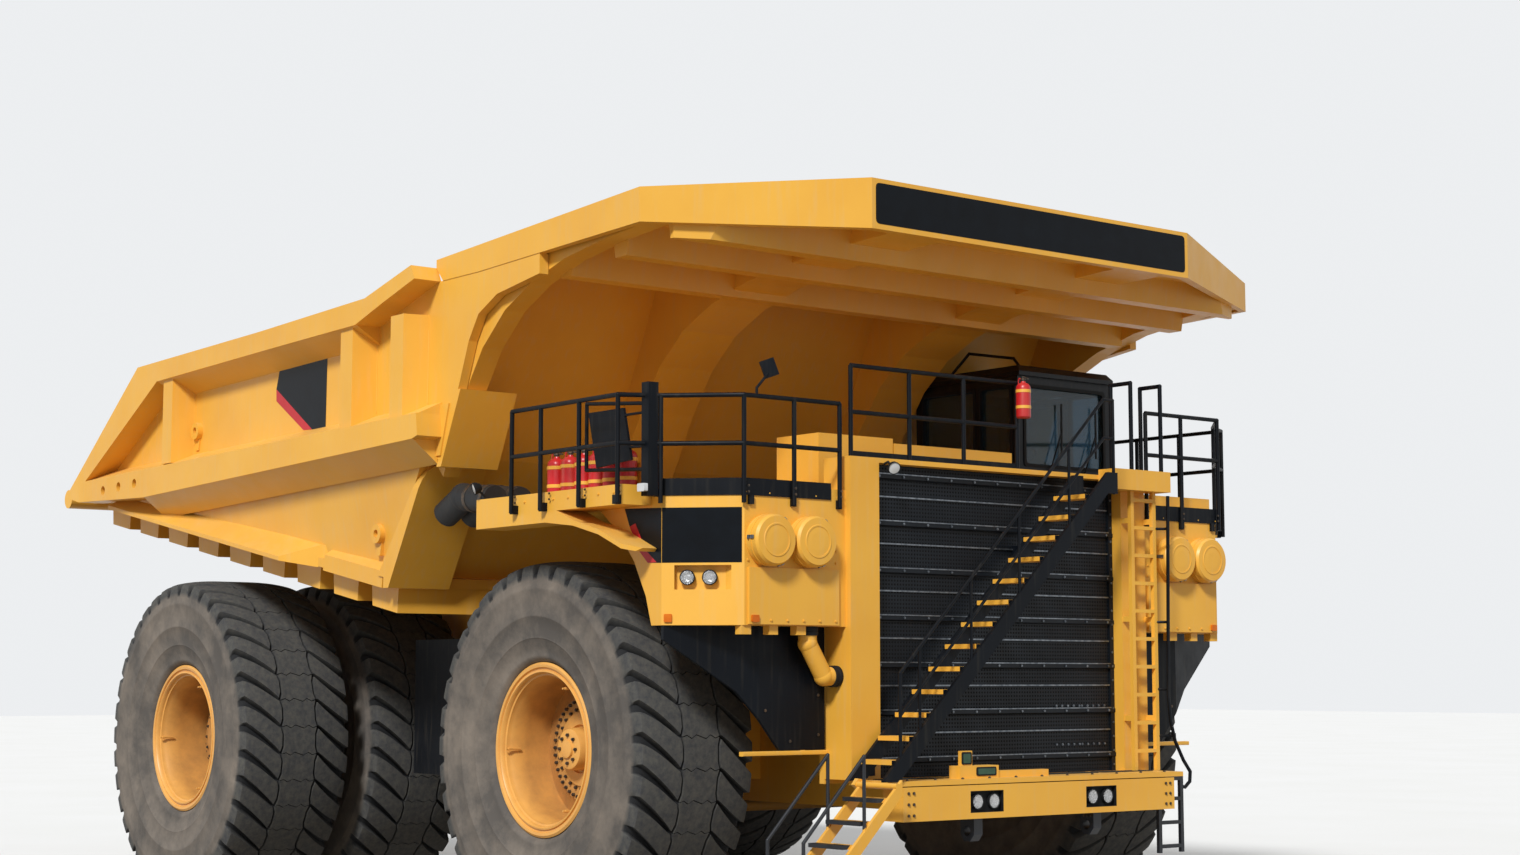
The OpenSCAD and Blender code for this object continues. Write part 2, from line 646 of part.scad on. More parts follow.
// Two deep beams that rest on the rails, with the ears of the bed's pivot
pad_gap = 8;
function beam_z(x) = under_z(x) - seam;
module bed_beams() {
  color(PAINT) both_sides() difference() {
    union() {
      slab([[-5700, beam_z(-5700)], [900, beam_z(900)],
        rail_top_front + [-250, 90], rail_top_front + [-600, 90 + pad_gap],
        rail_top_rear + [0, pad_gap], [-5700, 4300]], rail_y0, rail_y1);
      for (y = [rail_y0 - 70, rail_y1 + 10])
        slab([[-5500, 4200], [-5500, 4420], [-4800, 4420], [-4800, 4200], [-4920, 3450], [-5050, 3300],
          [-5350, 3300], [-5480, 3450]], y, y + 60);
      block([-5500, rail_y0 - 70, 4240], [-4800, rail_y1 + 70, 4420]);
    }
    round_y(pivot_x, pivot_z, 400, 1500, 120 + skin);
  }
  color(PAINT) both_sides() for (y = [hoist_y - 152, hoist_y + 112])
    slab([[HOIST_EYE[0] - 140, beam_z(HOIST_EYE[0] - 140)], [HOIST_EYE[0] + 140,
      beam_z(HOIST_EYE[0] + 140)],
      HOIST_EYE + [100, -110], HOIST_EYE + [-100, -110]], y, y + 40);
}

// All that lies under a plane along the floor's top, so that the walls stand on it
module under_floor(lift) {
  slab([[-8500, floor_z(-8500) + lift], [2200, floor_z(2200) + lift], [2200, 2500], [-8500, 2500]],
    -5000, 5000);
}

// The inside of the bed between its walls, as a front outline
module between_sides(x0, x1, gap = seam) {
  front([[gap - side_in, 8000], [gap - side_in, knee_z], [gap - inner_y(3500), 3500],
    [inner_y(3500) - gap, 3500],
    [side_in - gap, knee_z], [side_in - gap, 8000]], x0, x1);
}

// Underside of the canopy plate: level at first, then rising to the front
canopy_z = 7300;
fascia_z = 7140;
canopy_x = 3200;
canopy_rise = 0.03;
function canopy_under(x) = canopy_z + max(0, x - canopy_x) * canopy_rise;
fascia_x = 3300;
fascia_rise = 0.0302;
function fascia_under(x) = fascia_z + max(0, x - fascia_x) * fascia_rise;

// Bed sides: upright plate, sloped lower plate, rails and stiffeners
knee_z = 5350;
side_slope = 9;
function inner_y(z) = z > knee_z ? side_in : side_in - (knee_z - z) * tan(side_slope);
STIFFENERS = [-4100, 700, 1850];
stiffener_w = 420;
// Edges of the rails along the side: from and to in X and Z
TOP_RAIL_EDGE = [[-4160, 6660], [1170, 6780]];
MID_RAIL_UNDER = [[-4500, 5150], [2480, 5370]];
MID_RAIL_OVER = [[-6500, 5490], [2570, 5650]];
// Holes in the tail of the mid rail, and the lifting eyes: x, z, and the depth of the plate there
RAIL_HOLES = [[-5810, 5320], [-5300, 5340], [-4790, 5350]];
LIFT_EYES = [[-3530, 5970, 4550], [1000, 4420, 4400]];

// Lip over the floor's edge: a slanted strip, cut slantwise at both ends, then a thin strip to the corner
module floor_lip() {
  difference() {
    union() {
      intersection() {
        along([-6200, floor_z(-6200)], [300, floor_z(300)], [[4250, seam], [side_in + seam, seam],
          [side_in + seam, -bed_plate - 10], [4700, -bed_plate - 10], [4700, -70], [4420, 150], [4250,
            150]]);
        plan([[-6060, 4710], [-5460, 4200], [60, 4200], [-960, 4710]], 3000, 6000);
      }
      along([-200, floor_z(-200)], [1200, floor_z(1200)], [[4250, seam], [side_in + seam, seam],
        [side_in + seam, -130],
        [side_in + 40, -130], [side_in + 40, 60], [4300, 170], [4250, 170]]);
    }
    between_sides(-7000, 3000, -20);
  }
}

// Plate bent round the bed's lower front corner, and the flat guard over the foot of the outer rib
module corner_wrap() {
  r = 300;
  difference() {
    intersection() {
      slab([[wall_x(3790) + seam, 3790], [1360, 3790], [2180, 5180], [wall_x(5180) + seam, 5180]], 3600,
        4600);
      front(concat([[3700, 3790], [4500, 3790]], [for (a = [0 : 18 : 90]) [4500 - r + r * cos(a),
        5180 - r + r * sin(a)]],
        [[3700, 5180]]), 900, 2300);
    }
    slab([[900, floor_z(900) + seam], [FLOOR_FRONT[0] + seam, FLOOR_FRONT[1] + seam],
      [FLOOR_FRONT[0] + seam, 3600],
      [900, 3600]], 3500, 4700);
  }
  slab([[2465, 5080], [2560, 5080], [2950, 5900], [2890, 5900]], 3820, side_out);
}
module lift_eye(e) {
  difference() {
    union() {
      round_y(e[0], e[1], e[2] - 60, e[2] + 70, 110);
      slab([[e[0] - 60, e[1] - 250], [e[0] + 20, e[1] - 250], [e[0] + 60, e[1] - 80], [e[0] - 60,
        e[1] - 80]],
        e[2] - 60, e[2] + 20);
    }
    round_y(e[0], e[1], e[2] + 20, e[2] + 100, 48);
  }
}
module bed_side(side) {
  color(PAINT) on_side(side) {
    difference() {
      slab([[-6990, knee_z - 5], [-4830, 6870], [1310, 6990], [1865, fascia_z - seam],
        [fascia_x, fascia_z - seam], [4490, fascia_under(4490) - seam], [4490, 6960],
        [3670, 6850], [3300, 6680], [3110, 6410], [2900, 5900], [2530, 5140], [2240, knee_z - 5]],
          side_in, side_out);
      under_floor(-bed_plate);
    }
    difference() {
      translate([0, side_in, knee_z]) rotate([-side_slope, 0, 0])
        slab([[-7300, 0], [2240, 0], [1030, -1450], [-7300, -1450]], 0, bed_plate);
      under_floor(seam);
    }
    slab([[-7090, 5310], [-4780, 6910], [-1220, 6980], [1380, 7060], [2410, canopy_z], [2490, fascia_z],
      [1770, 6950],
      [1170, 6780], [-1200, 6730], [-4160, 6660], [-6500, 5450]], side_out - 15, bed_half_y);
    along(TOP_RAIL_EDGE[0], TOP_RAIL_EDGE[1], [[side_out - 5, 40], [bed_half_y - 8, 10], [side_out - 5,
      -200]]);
    difference() {
      union() {
        slab([[-7090, 5310], [-6640, 5210], MID_RAIL_UNDER[0], MID_RAIL_UNDER[1], [2600, 5400],
          MID_RAIL_OVER[1],
          MID_RAIL_OVER[0]], side_out - 20, bed_half_y);
        along(MID_RAIL_UNDER[0], MID_RAIL_UNDER[1], [[side_out - 5, 40], [bed_half_y - 8, 10],
          [side_out - 5, -260]]);
        along(MID_RAIL_OVER[0], MID_RAIL_OVER[1], [[side_out - 5, -40], [bed_half_y - 8, -10],
          [side_out - 5, 140]]);
        slab([[2460, 5200], [2570, 5200], [2740, 5760], [2460, 5760]], side_out - 15, side_out + 20);
      }
      for (h = RAIL_HOLES) round_y(h[0], h[1], bed_half_y - 150, bed_half_y + 10, 65);
    }
    for (x = STIFFENERS) plan([[x, side_out - 10], [x + stiffener_w, side_out - 10],
      [x + stiffener_w - 70, bed_half_y - 40], [x + 70, bed_half_y - 40]], 5560, 6790);
    floor_lip();
    corner_wrap();
    for (e = LIFT_EYES) lift_eye(e);
  }
}

// Leaning front wall between the sides
WALL_FRONT = [[1010, 3800], [2150, 5230], [2800, 6560], [3150, canopy_z]];
function wall_x(z) = WALL_FRONT[0][0] + (z - WALL_FRONT[0][1]) * (WALL_FRONT[1][0] - WALL_FRONT[0][0])
  / (WALL_FRONT[1][1] - WALL_FRONT[0][1]);
WALL_REAR = [[3010, canopy_z], [2660, 6610], [2020, 5300], [850, 3830]];
module bed_front_wall() {
  color(PAINT) difference() {
    intersection() {
      slab(concat(WALL_FRONT, WALL_REAR), -side_in, side_in);
      between_sides(0, 4000);
    }
    under_floor(seam);
  }
}

// Canopy plate with the deep fascia round its edge
CANOPY_PLAN = [[2420, -canopy_half_y], [6280, -canopy_half_y], [7262, -2380], [7262, 2380],
  [6280, canopy_half_y], [2420, canopy_half_y]];
CANOPY_INNER = [[2000, -canopy_half_y + 90], [6243, -canopy_half_y + 90], [7172, -2338], [7172, 2338],
  [6243, canopy_half_y - 90], [2000, canopy_half_y - 90]];
module bed_canopy() {
  color(PAINT) {
    intersection() {
      difference() {
        plan(CANOPY_PLAN, 6900, 8000);
        plan(CANOPY_INNER, 6800, 8100);
      }
      slab([[2420, canopy_z], [2560, fascia_z], [fascia_x, fascia_z], [6280, fascia_under(6280)], [7262,
        7280], [7262, 7800], [6280, 7580],
        [2420, 7390]], -5000, 5000);
    }
    intersection() {
      plan(CANOPY_PLAN, 6900, 8000);
      slab([[2420, canopy_z], [canopy_x, canopy_z], [7200, canopy_under(7200)], [7200, 7500], [2420,
        7390]], -5000, 5000);
    }
  }
}

// Four box ribs that bend from the wall to the front of the canopy, with beams between
RIB_EDGE = [[7160, 7285], [6200, 7250], [5500, 7190], [4790, 7095], [4150, 6920], [3640, 6690], [3200,
  6330],
  [2830, 5830], [2400, 5080]];
rib_y = canopy_half_y - 128;
RIBS = [[-rib_y, 250 - rib_y], [-2050, -1300], [1300, 2050], [rib_y - 250, rib_y]];
CROSS_BEAMS = [[6250, 7100], [5300, 7040], [4300, 6960]];
module bed_ribs() {
  color(PAINT) difference() {
    intersection() {
      union() {
        for (r = RIBS) slab(concat([[3150, canopy_z], [canopy_x, canopy_z], [7160, canopy_under(7160)]],
          RIB_EDGE,
          [[2340, 4990], [2150, 5230], [2800, 6560]]), r[0], r[1]);
        for (c = CROSS_BEAMS) slab([[c[0], canopy_under(c[0])], [c[0] + 60, c[1]], [c[0] + 260, c[1]],
          [c[0] + 320, canopy_under(c[0] + 320)]], 230 - rib_y, rib_y - 230);
      }
      between_sides(2000, 7500);
    }
    difference() {
      block([2500, -5000, 6000], [8000, 5000, 8000]);
      plan(concat([[2400, -side_out], [2400, side_out]], [for (i = [4 : -1 : 1]) CANOPY_INNER[i]]), 5900,
        8100);
    }
  }
}

// One tyre about its own Y axis. The lugs of each shoulder run from a tip by the middle to the tip's
// neighbour at the shoulder, and both shoulders lean the same way
flange_y = rim_width / 2;
half_tyre = tyre_width / 2;
tip_y = 230;
pitch = 360 / lugs;
wall_n = lugs / 2;
// Rings of the sidewall: radius, half width. The first two are bored so that the flats clear the rim
WALL = [[(bead_r + skin) / cos(pitch), flange_y - skin], [(bead_r + flange_h + skin) / cos(pitch),
  flange_y - skin],
  [1450, half_tyre]];
// The mouth of one groove at the shoulder: radius, half width, place in pitches
MOUTH = [[tyre_r - 52, half_tyre - 43, -0.27], [tyre_r - 152, half_tyre - 26, -0.12],
  [tyre_r - 152, half_tyre - 26, 0.12], [tyre_r - 52, half_tyre - 43, 0.27]];
function around(r, y, turn) = [r * sin(turn), y, -r * cos(turn)];
function half_points(s) = concat(
  [for (w = WALL) for (j = [0 : wall_n - 1]) around(w[0], s * w[1], 2 * j * pitch)],
  [for (k = [0 : lugs - 1]) around(tyre_r, s * tip_y, k * pitch)],
  [for (k = [0 : lugs - 1]) for (m = MOUTH) around(m[0], s * m[1], (k + m[2]) * pitch)]);
half_n = 3 * wall_n + 5 * lugs;
// Point numbers: ring i of the wall, tip k, point i of mouth k
function on_wall(s, i, j) = (s > 0 ? 0 : half_n) + i * wall_n + j % wall_n;
function at_tip(s, k) = (s > 0 ? 0 : half_n) + 3 * wall_n + (k + lugs) % lugs;
function at_mouth(s, k, i) = (s > 0 ? 0 : half_n) + 3 * wall_n + lugs + 4 * (k % lugs) + i;
function wall_faces(s) = concat(
  [for (i = [0, 1]) for (j = [0 : wall_n - 1])
    [on_wall(s, i + 1, j), on_wall(s, i + 1, j + 1), on_wall(s, i, j + 1), on_wall(s, i, j)]],
  [for (j = [0 : wall_n - 1]) let (a = on_wall(s, 2, j), b = on_wall(s, 2, j + 1), k = 2 * j)
    each concat([for (i = [0 : 2]) [a, at_mouth(s, k, i), at_mouth(s, k, i + 1)]],
      [[a, at_mouth(s, k, 3), at_mouth(s, k + 1, 0)], [a, at_mouth(s, k + 1, 0), at_mouth(s, k + 1, 1)],
        [a, at_mouth(s, k + 1, 1), b]],
      [for (i = [1, 2]) [b, at_mouth(s, k + 1, i), at_mouth(s, k + 1, i + 1)]],
      [[b, at_mouth(s, k + 1, 3), at_mouth(s, k + 2, 0)]])]);
function lug_faces(s) = [for (k = [0 : lugs - 1]) let (a = at_tip(s, k - s), b = at_tip(s, k + 1 - s))
  each concat([for (i = [0 : 2]) [a, at_mouth(s, k, i + 1), at_mouth(s, k, i)]],
    [[a, b, at_mouth(s, k + 1, 0)], [a, at_mouth(s, k + 1, 0), at_mouth(s, k, 3)]])];
function turned(faces) = [for (f = faces) [for (i = [len(f) - 1 : -1 : 0]) f[i]]];
module tyre() {
  polyhedron(concat(half_points(1), half_points(-1)), concat(wall_faces(1), lug_faces(1),
    turned(concat(wall_faces(-1), lug_faces(-1))),
    [for (k = [0 : lugs - 1]) [at_tip(1, k + 1), at_tip(1, k), at_tip(-1, k), at_tip(-1, k + 1)]],
    [for (j = [0 : wall_n - 1]) [on_wall(1, 0, j), on_wall(1, 0, j + 1), on_wall(-1, 0, j + 1),
      on_wall(-1, 0, j)]]));
}

// Rim barrel with its two flanges, as the outline of its wall
RIM = [[bead_r - 40, -610], [bead_r + flange_h, -610], [bead_r + flange_h, -flange_y], [bead_r, -flange_y],
  [bead_r, flange_y], [bead_r + flange_h, flange_y], [bead_r + flange_h, 610], [bead_r - 40, 610]];

module wheel_front_tyre(side) {
  color(RUBBER) on_side(side) translate([front_axle_x, front_track_y, axle_z]) tyre();
}
spindle_r = 180;
module wheel_front_rim(side) {
  color(PAINT) on_side(side) translate([front_axle_x, front_track_y, axle_z]) rotate([-90, 0, 0])
    rotate_extrude() {
      polygon(RIM);
      polygon([[450, -20], [bead_r - 40, -60], [bead_r - 40, 10], [450, 80]]);
      polygon([[spindle_r + skin, -560], [470, -560], [470, 80], [230, 80], [210, 270], [0, 270], [0, 150],
        [spindle_r + skin, 150]]);
    }
}
module wheels_rear_tyres(side) {
  color(RUBBER) on_side(side) for (y = [inner_dual_y, outer_dual_y])
    translate([rear_axle_x, y, axle_z]) tyre();
}
module wheels_rear_rims(side) {
  color(PAINT) on_side(side) {
    for (y = [inner_dual_y, outer_dual_y]) translate([rear_axle_x, y, axle_z]) rotate([-90, 0, 0])
      rotate_extrude() polygon(RIM);
    translate([rear_axle_x, 0, axle_z]) rotate([-90, 0, 0]) rotate_extrude() polygon([[axle_tube_r + skin, 1650],
      [620, 1650], [620, 2750], [765, 2750], [765, 3500], [640, 3500], [640, 4030], [480, 4120], [0, 4190],
      [0, 4090], [460, 3990], [axle_tube_r + skin, 3950]]);
  }
}

// Steered knuckle: the strut's foot, the wheel spindle and the steering arm
steer_arm = 600;
steer_z = 1290;
module knuckle(side) {
  color(PAINT) on_side(side) {
    translate([front_axle_x, kingpin_y, 1450]) cylinder(h = 1150, r = 330);
    translate([front_axle_x, kingpin_y, 2600]) cylinder(h = 800, r = 260);
    round_y(front_axle_x, axle_z, kingpin_y, front_track_y + 130, spindle_r);
    slab([[front_axle_x - steer_arm - 90, steer_z + 80], [front_axle_x - steer_arm - 90, steer_z + 200],
      [front_axle_x, steer_z + 400], [front_axle_x, steer_z + 80]], kingpin_y - 90, kingpin_y + 90);
  }
}
module tie_rod() {
  color(PAINT) {
    bar([front_axle_x - steer_arm, -kingpin_y + 60, steer_z], [front_axle_x - steer_arm, kingpin_y - 60,
      steer_z], 60);
    both_sides() translate([front_axle_x - steer_arm, kingpin_y, steer_z - 60]) cylinder(h = 140 - skin,
      r = 110);
  }
}

// Hoists: barrel on a pin of the rail, middle stage and rod, all along one line at rest
hoist_v = HOIST_EYE - HOIST_FOOT;
hoist_len = norm(hoist_v);
hoist_tilt = atan2(hoist_v[0], hoist_v[1]);
barrel_top = hoist_len - 260;
module along_hoist() {
  both_sides() translate([HOIST_FOOT[0], hoist_y, HOIST_FOOT[1]]) rotate([0, hoist_tilt, 0]) children();
}
module hoist_barrels() {
  color(PAINT) along_hoist() difference() {
    union() {
      translate([0, 0, 90]) cylinder(h = barrel_top - 90, r = 235);
      rotate([90, 0, 0]) translate([0, 0, -110]) cylinder(h = 220, r = 150);
    }
    translate([0, 0, 200]) cylinder(h = hoist_len, r = 190 + skin);
    rotate([90, 0, 0]) translate([0, 0, -300]) cylinder(h = 600, r = 80 + skin);
  }
}
module hoist_stages() {
  color(STEEL) along_hoist() difference() {
    translate([0, 0, 206]) cylinder(h = barrel_top - 200, r = 190);
    translate([0, 0, 240]) cylinder(h = hoist_len, r = 140 + skin);
  }
}
module hoist_rods() {
  color(STEEL) along_hoist() {
    translate([0, 0, 246]) cylinder(h = barrel_top - 246, r = 140);
    translate([0, 0, 246]) cylinder(h = hoist_len - 246, r = 95);
    translate([0, 0, hoist_len]) rotate([90, 0, 0]) translate([0, 0, -100]) cylinder(h = 200,
      r = hoist_eye_r);
  }
}

frame();
bumper();
engine_block();
grille();
grille_pillars();
fender(-1);  // fender_right
fender(1);  // fender_left
centre_deck();
air_cleaners();
splash_plates();
headlamps();
cab_shell();
cab_glass();
cab_roof();
cab_interior();
diagonal_stair();
left_ladder();
handrails();
exhausts();
deck_boxes();
bottles();
mirrors();
fuel_tank();
rear_axle();
rear_struts();
front_struts();
bed_floor();
bed_beams();
bed_side(-1);  // bed_side_right
bed_side(1);  // bed_side_left
bed_front_wall();
bed_canopy();
bed_ribs();
wheel_front_tyre(-1);  // tyre_front_right
wheel_front_rim(-1);  // rim_front_right
wheel_front_tyre(1);  // tyre_front_left
wheel_front_rim(1);  // rim_front_left
wheels_rear_tyres(-1);  // tyres_rear_right
wheels_rear_rims(-1);  // rims_rear_right
wheels_rear_tyres(1);  // tyres_rear_left
wheels_rear_rims(1);  // rims_rear_left
knuckle(-1);  // knuckle_right
knuckle(1);  // knuckle_left
tie_rod();
hoist_barrels();
hoist_stages();
hoist_rods();
cab_door();
access_stair();
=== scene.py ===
# A rigid mining dump truck, dressed on its CAD frame. Metres, +X forward, +Y its left, +Z up.
import math

import bmesh
import bpy
from mathutils import Matrix, Vector


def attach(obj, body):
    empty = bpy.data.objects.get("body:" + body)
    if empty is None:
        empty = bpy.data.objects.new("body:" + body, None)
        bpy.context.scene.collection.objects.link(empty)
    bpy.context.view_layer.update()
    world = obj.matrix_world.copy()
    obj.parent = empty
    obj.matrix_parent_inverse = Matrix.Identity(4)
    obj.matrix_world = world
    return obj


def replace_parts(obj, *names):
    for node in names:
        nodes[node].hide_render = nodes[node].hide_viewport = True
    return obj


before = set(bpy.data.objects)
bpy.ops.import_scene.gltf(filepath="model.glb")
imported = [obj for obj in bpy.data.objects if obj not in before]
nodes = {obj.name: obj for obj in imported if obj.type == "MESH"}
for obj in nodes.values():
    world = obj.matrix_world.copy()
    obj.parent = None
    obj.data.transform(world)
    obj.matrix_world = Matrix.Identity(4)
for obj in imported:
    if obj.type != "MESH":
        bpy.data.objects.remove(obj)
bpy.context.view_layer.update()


# The camera stands off the right front corner, low on the ground, and looks up a little at the truck.
# Its place and lens are worked out from the truck's own known sizes.
def placed(name, data):
    """A new object in the scene."""
    made = bpy.data.objects.new(name, data)
    bpy.context.scene.collection.objects.link(made)
    return made


def aimed(name, data, way):
    """A camera or a lamp that looks along a direction."""
    made = placed(name, data)
    made.rotation_mode = "QUATERNION"
    made.rotation_quaternion = Vector(way).to_track_quat("-Z", "Y")
    return made


STAND, LOOK = (24.72, -17.76, 2.76), (-0.7771, 0.6202, 0.1069)
FILM_MM, LENS_MM, FAR_LIMIT = 36, 55.47, 400
camera = aimed("camera", bpy.data.cameras.new("camera"), LOOK)
camera.location = STAND
camera.data.sensor_width = FILM_MM
camera.data.lens = LENS_MM
camera.data.clip_end = FAR_LIMIT
bpy.context.scene.camera = camera


# The frame, axles and struts are welded from plate, box sections and castings, and sprayed with two coats
# of golden machine enamel. It reads as a warm yellow with a soft gloss, chalky where dust lies on it.
def linear(hex_colour):
    """sRGB hex to the linear colour that a node takes."""
    parts = [int(hex_colour[i:i + 2], 16) / 255 for i in (1, 3, 5)]
    return [c / 12.92 if c <= 0.04045 else ((c + 0.055) / 1.055) ** 2.4 for c in parts] + [1]


def add(tree, kind, inputs=(), **settings):
    """Adds a node with its settings; inputs holds values and the sockets that feed it."""
    new = tree.nodes.new(kind)
    for name, value in settings.items():
        setattr(new, name, value)
    for name, value in dict(inputs).items():
        if isinstance(value, bpy.types.NodeSocket):
            tree.links.new(value, new.inputs[name])
        else:
            new.inputs[name].default_value = value
    return new


def finish_of(name, low, high, clouds, span=(0, 1), rough=None, grain=None, layers=None, **settings):
    """A material whose colour drifts from low to high in clouds: scale, detail and roughness of their noise,
    which span stretches. Rough lets the gloss drift too; grain is a bump: noise, strength, distance. Layers
    returns what else lies on it, by socket, and settings are plain values of the surface."""
    material = bpy.data.materials.new(name)
    material.use_nodes = True
    tree = material.node_tree
    tree.nodes.clear()
    place = add(tree, "ShaderNodeTexCoord").outputs["Object"]
    drift = add(tree, "ShaderNodeTexNoise", {"Vector": place, "Scale": clouds[0], "Detail": clouds[1],
                                             "Roughness": clouds[2]}).outputs["Fac"]
    share = add(tree, "ShaderNodeMapRange", {"Value": drift, "From Min": span[0], "From Max": span[1]})
    tone = add(tree, "ShaderNodeMix", {0: share.outputs[0], 6: linear(low), 7: linear(high)},
               data_type="RGBA").outputs[2]
    found = {"Base Color": tone}
    if rough:
        gloss = add(tree, "ShaderNodeMapRange", {"Value": drift, "From Min": 0.3, "From Max": 0.7,
                                                 "To Min": rough[0], "To Max": rough[1]})
        found["Roughness"] = gloss.outputs[0]
    if grain:
        (scale, detail, harshness), strength, distance = grain
        skin = add(tree, "ShaderNodeTexNoise", {"Vector": place, "Scale": scale, "Detail": detail,
                                                "Roughness": harshness})
        found["Normal"] = add(tree, "ShaderNodeBump", {"Height": skin.outputs["Fac"], "Strength": strength,
                                                       "Distance": distance}).outputs[0]
    if layers:
        found.update(layers(tree, place, drift, tone))
    values = {socket.replace("_", " "): value for socket, value in settings.items()}
    surface = add(tree, "ShaderNodeBsdfPrincipled", values | found)
    add(tree, "ShaderNodeOutputMaterial", {"Surface": surface.outputs[0]})
    return material


def enamel(name, colour, faded, dust, roughness, dust_share, black_part=None, gloss=0.45):
    """Sprayed enamel on steel: slow fading, soft streaks down the sides, dust on what faces up."""
    def layers(tree, place, drift, tone):
        # streaks of washed-down dust, 60 mm wide and a metre long
        stretched = add(tree, "ShaderNodeMapping", {"Vector": place, "Scale": (1, 1, 0.08)}).outputs[0]
        runs = add(tree, "ShaderNodeTexNoise", {"Vector": stretched, "Scale": 16, "Detail": 4}).outputs["Fac"]
        streaked = add(tree, "ShaderNodeMapRange", {"Value": runs, "From Min": 0.52, "From Max": 0.78,
                                                    "To Max": 0.22}).outputs[0]
        # dust lies on faces that look up, in clouds about 0.3 m across
        normal = add(tree, "ShaderNodeNewGeometry").outputs["Normal"]
        up = add(tree, "ShaderNodeSeparateXYZ", {"Vector": normal}).outputs["Z"]
        clouds = add(tree, "ShaderNodeTexNoise", {"Vector": place, "Scale": 3.2, "Detail": 8,
                                                  "Roughness": 0.62}).outputs["Fac"]
        lying = add(tree, "ShaderNodeMath", {0: up, 1: clouds}, operation="MULTIPLY").outputs[0]
        dusty = add(tree, "ShaderNodeMapRange", {"Value": lying, "From Min": 0.2, "From Max": 0.75,
                                                 "To Max": dust_share}).outputs[0]
        films = [(streaked, linear(dust)), (dusty, linear(dust))]
        if black_part:
            films.append((black_part(tree, place), linear("#14171D")))
        base = tone
        for share, film in films:
            base = add(tree, "ShaderNodeMix", {0: share, 6: base, 7: film}, data_type="RGBA").outputs[2]
        rough = add(tree, "ShaderNodeMapRange", {"Value": clouds, "From Min": 0.3, "From Max": 0.7,
                                                 "To Min": roughness, "To Max": roughness + 0.16}).outputs[0]
        # plates rolled a little uneven, 0.4 m across, under orange peel of 4 mm
        waves = add(tree, "ShaderNodeTexNoise", {"Vector": place, "Scale": 2.5, "Detail": 1}).outputs["Fac"]
        uneven = add(tree, "ShaderNodeBump", {"Height": waves, "Strength": 0.12, "Distance": 0.02}).outputs[0]
        peel = add(tree, "ShaderNodeTexNoise", {"Vector": place, "Scale": 250, "Detail": 2}).outputs["Fac"]
        skin = add(tree, "ShaderNodeBump", {"Height": peel, "Strength": 0.05, "Distance": 0.001,
                                            "Normal": uneven})
        return {"Base Color": base, "Roughness": rough, "Normal": skin.outputs[0]}
    return finish_of(name, colour, faded, (0.7, 5, 0.55), (0.36, 0.68), layers=layers, IOR=1.5,
                     Specular_IOR_Level=gloss)


def paint(material, *names):
    """Gives whole CAD nodes one material."""
    for name in names:
        mesh = nodes[name].data
        mesh.materials.clear()
        mesh.materials.append(material)


# what the eye takes for new machine yellow, warm and a little orange in the shade; dust dulls it to sand
GOLD, FADED_GOLD, SAND = "#E9B041", "#E2A63B", "#D3B584"
golden = enamel("golden_machine_enamel", GOLD, FADED_GOLD, SAND, 0.36, 0.35)
# the running gear wears the same coat under a film of grey road dust, with a darker base that is painted
# shade
shaded_dusty_golden = enamel("dusty_axle_enamel_painted_shade", "#C08B35", "#9B7640", "#A08B6C", 0.55, 0.75)
paint(golden, "frame", "front_struts")
paint(shaded_dusty_golden, "rear_axle", "rear_struts", "knuckle_right", "knuckle_left", "tie_rod")


# The engine and its gearbox fill the frame as one dark casting. Behind them the fuel tank stands off the
# right rail on one bracket, a welded steel box whose black is painted shade between the wheels.

# sand-cast skin under thin enamel, dull and grey with dust
cast_black = enamel("dark_cast_iron_enamel", "#1E2023", "#282A2E", "#6B655A", 0.6, 0.5, gloss=0.25)
# painted shade between the wheels, on smooth plate, so darker and a little shinier than the casting
tank_painted_shade = enamel("black_tank_enamel_painted_shade", "#101216", "#17191D", "#5E584E", 0.45, 0.45, gloss=0.25)
paint(cast_black, "engine_block")
paint(tank_painted_shade, "fuel_tank")


# Six radial tyres, 1.5 m wide, of black natural rubber moulded hot. Long lugs slant in from each shoulder to
# a middle row of blocks between thin zigzag cuts; stone dust greys the walls, and the grooves and cuts are
# darkened with painted shade.
LUGS = 38
# Columns: half width and radius on the lug, the same at the foot of the groove, half width of the groove in
# pitches, and how far the groove has moved on round the tyre, in pitches. From the middle out to the wall.
TREAD_ROWS = [
    (0.000, 2.014, 0.000, 1.982, 0.016, 0.00), (0.060, 2.014, 0.060, 1.982, 0.016, 0.06),
    (0.120, 2.014, 0.120, 1.982, 0.016, -0.05), (0.180, 2.014, 0.180, 1.982, 0.016, 0.05),
    (0.219, 2.014, 0.219, 1.982, 0.018, 0.00), (0.226, 1.980, 0.226, 1.976, 0.03, 0.00),
    (0.243, 1.980, 0.243, 1.955, 0.05, 0.01), (0.250, 2.014, 0.250, 1.925, 0.07, 0.03),
    (0.330, 2.012, 0.330, 1.918, 0.10, 0.20), (0.420, 2.007, 0.420, 1.912, 0.12, 0.42),
    (0.510, 1.999, 0.510, 1.905, 0.14, 0.63), (0.600, 1.986, 0.600, 1.895, 0.16, 0.82),
    (0.660, 1.974, 0.655, 1.885, 0.18, 0.94), (0.695, 1.962, 0.680, 1.870, 0.20, 1.00),
    (0.712, 1.920, 0.700, 1.856, 0.19, 1.00), (0.722, 1.862, 0.714, 1.838, 0.17, 1.00),
    (0.729, 1.800, 0.728, 1.800, 0.15, 1.00)]
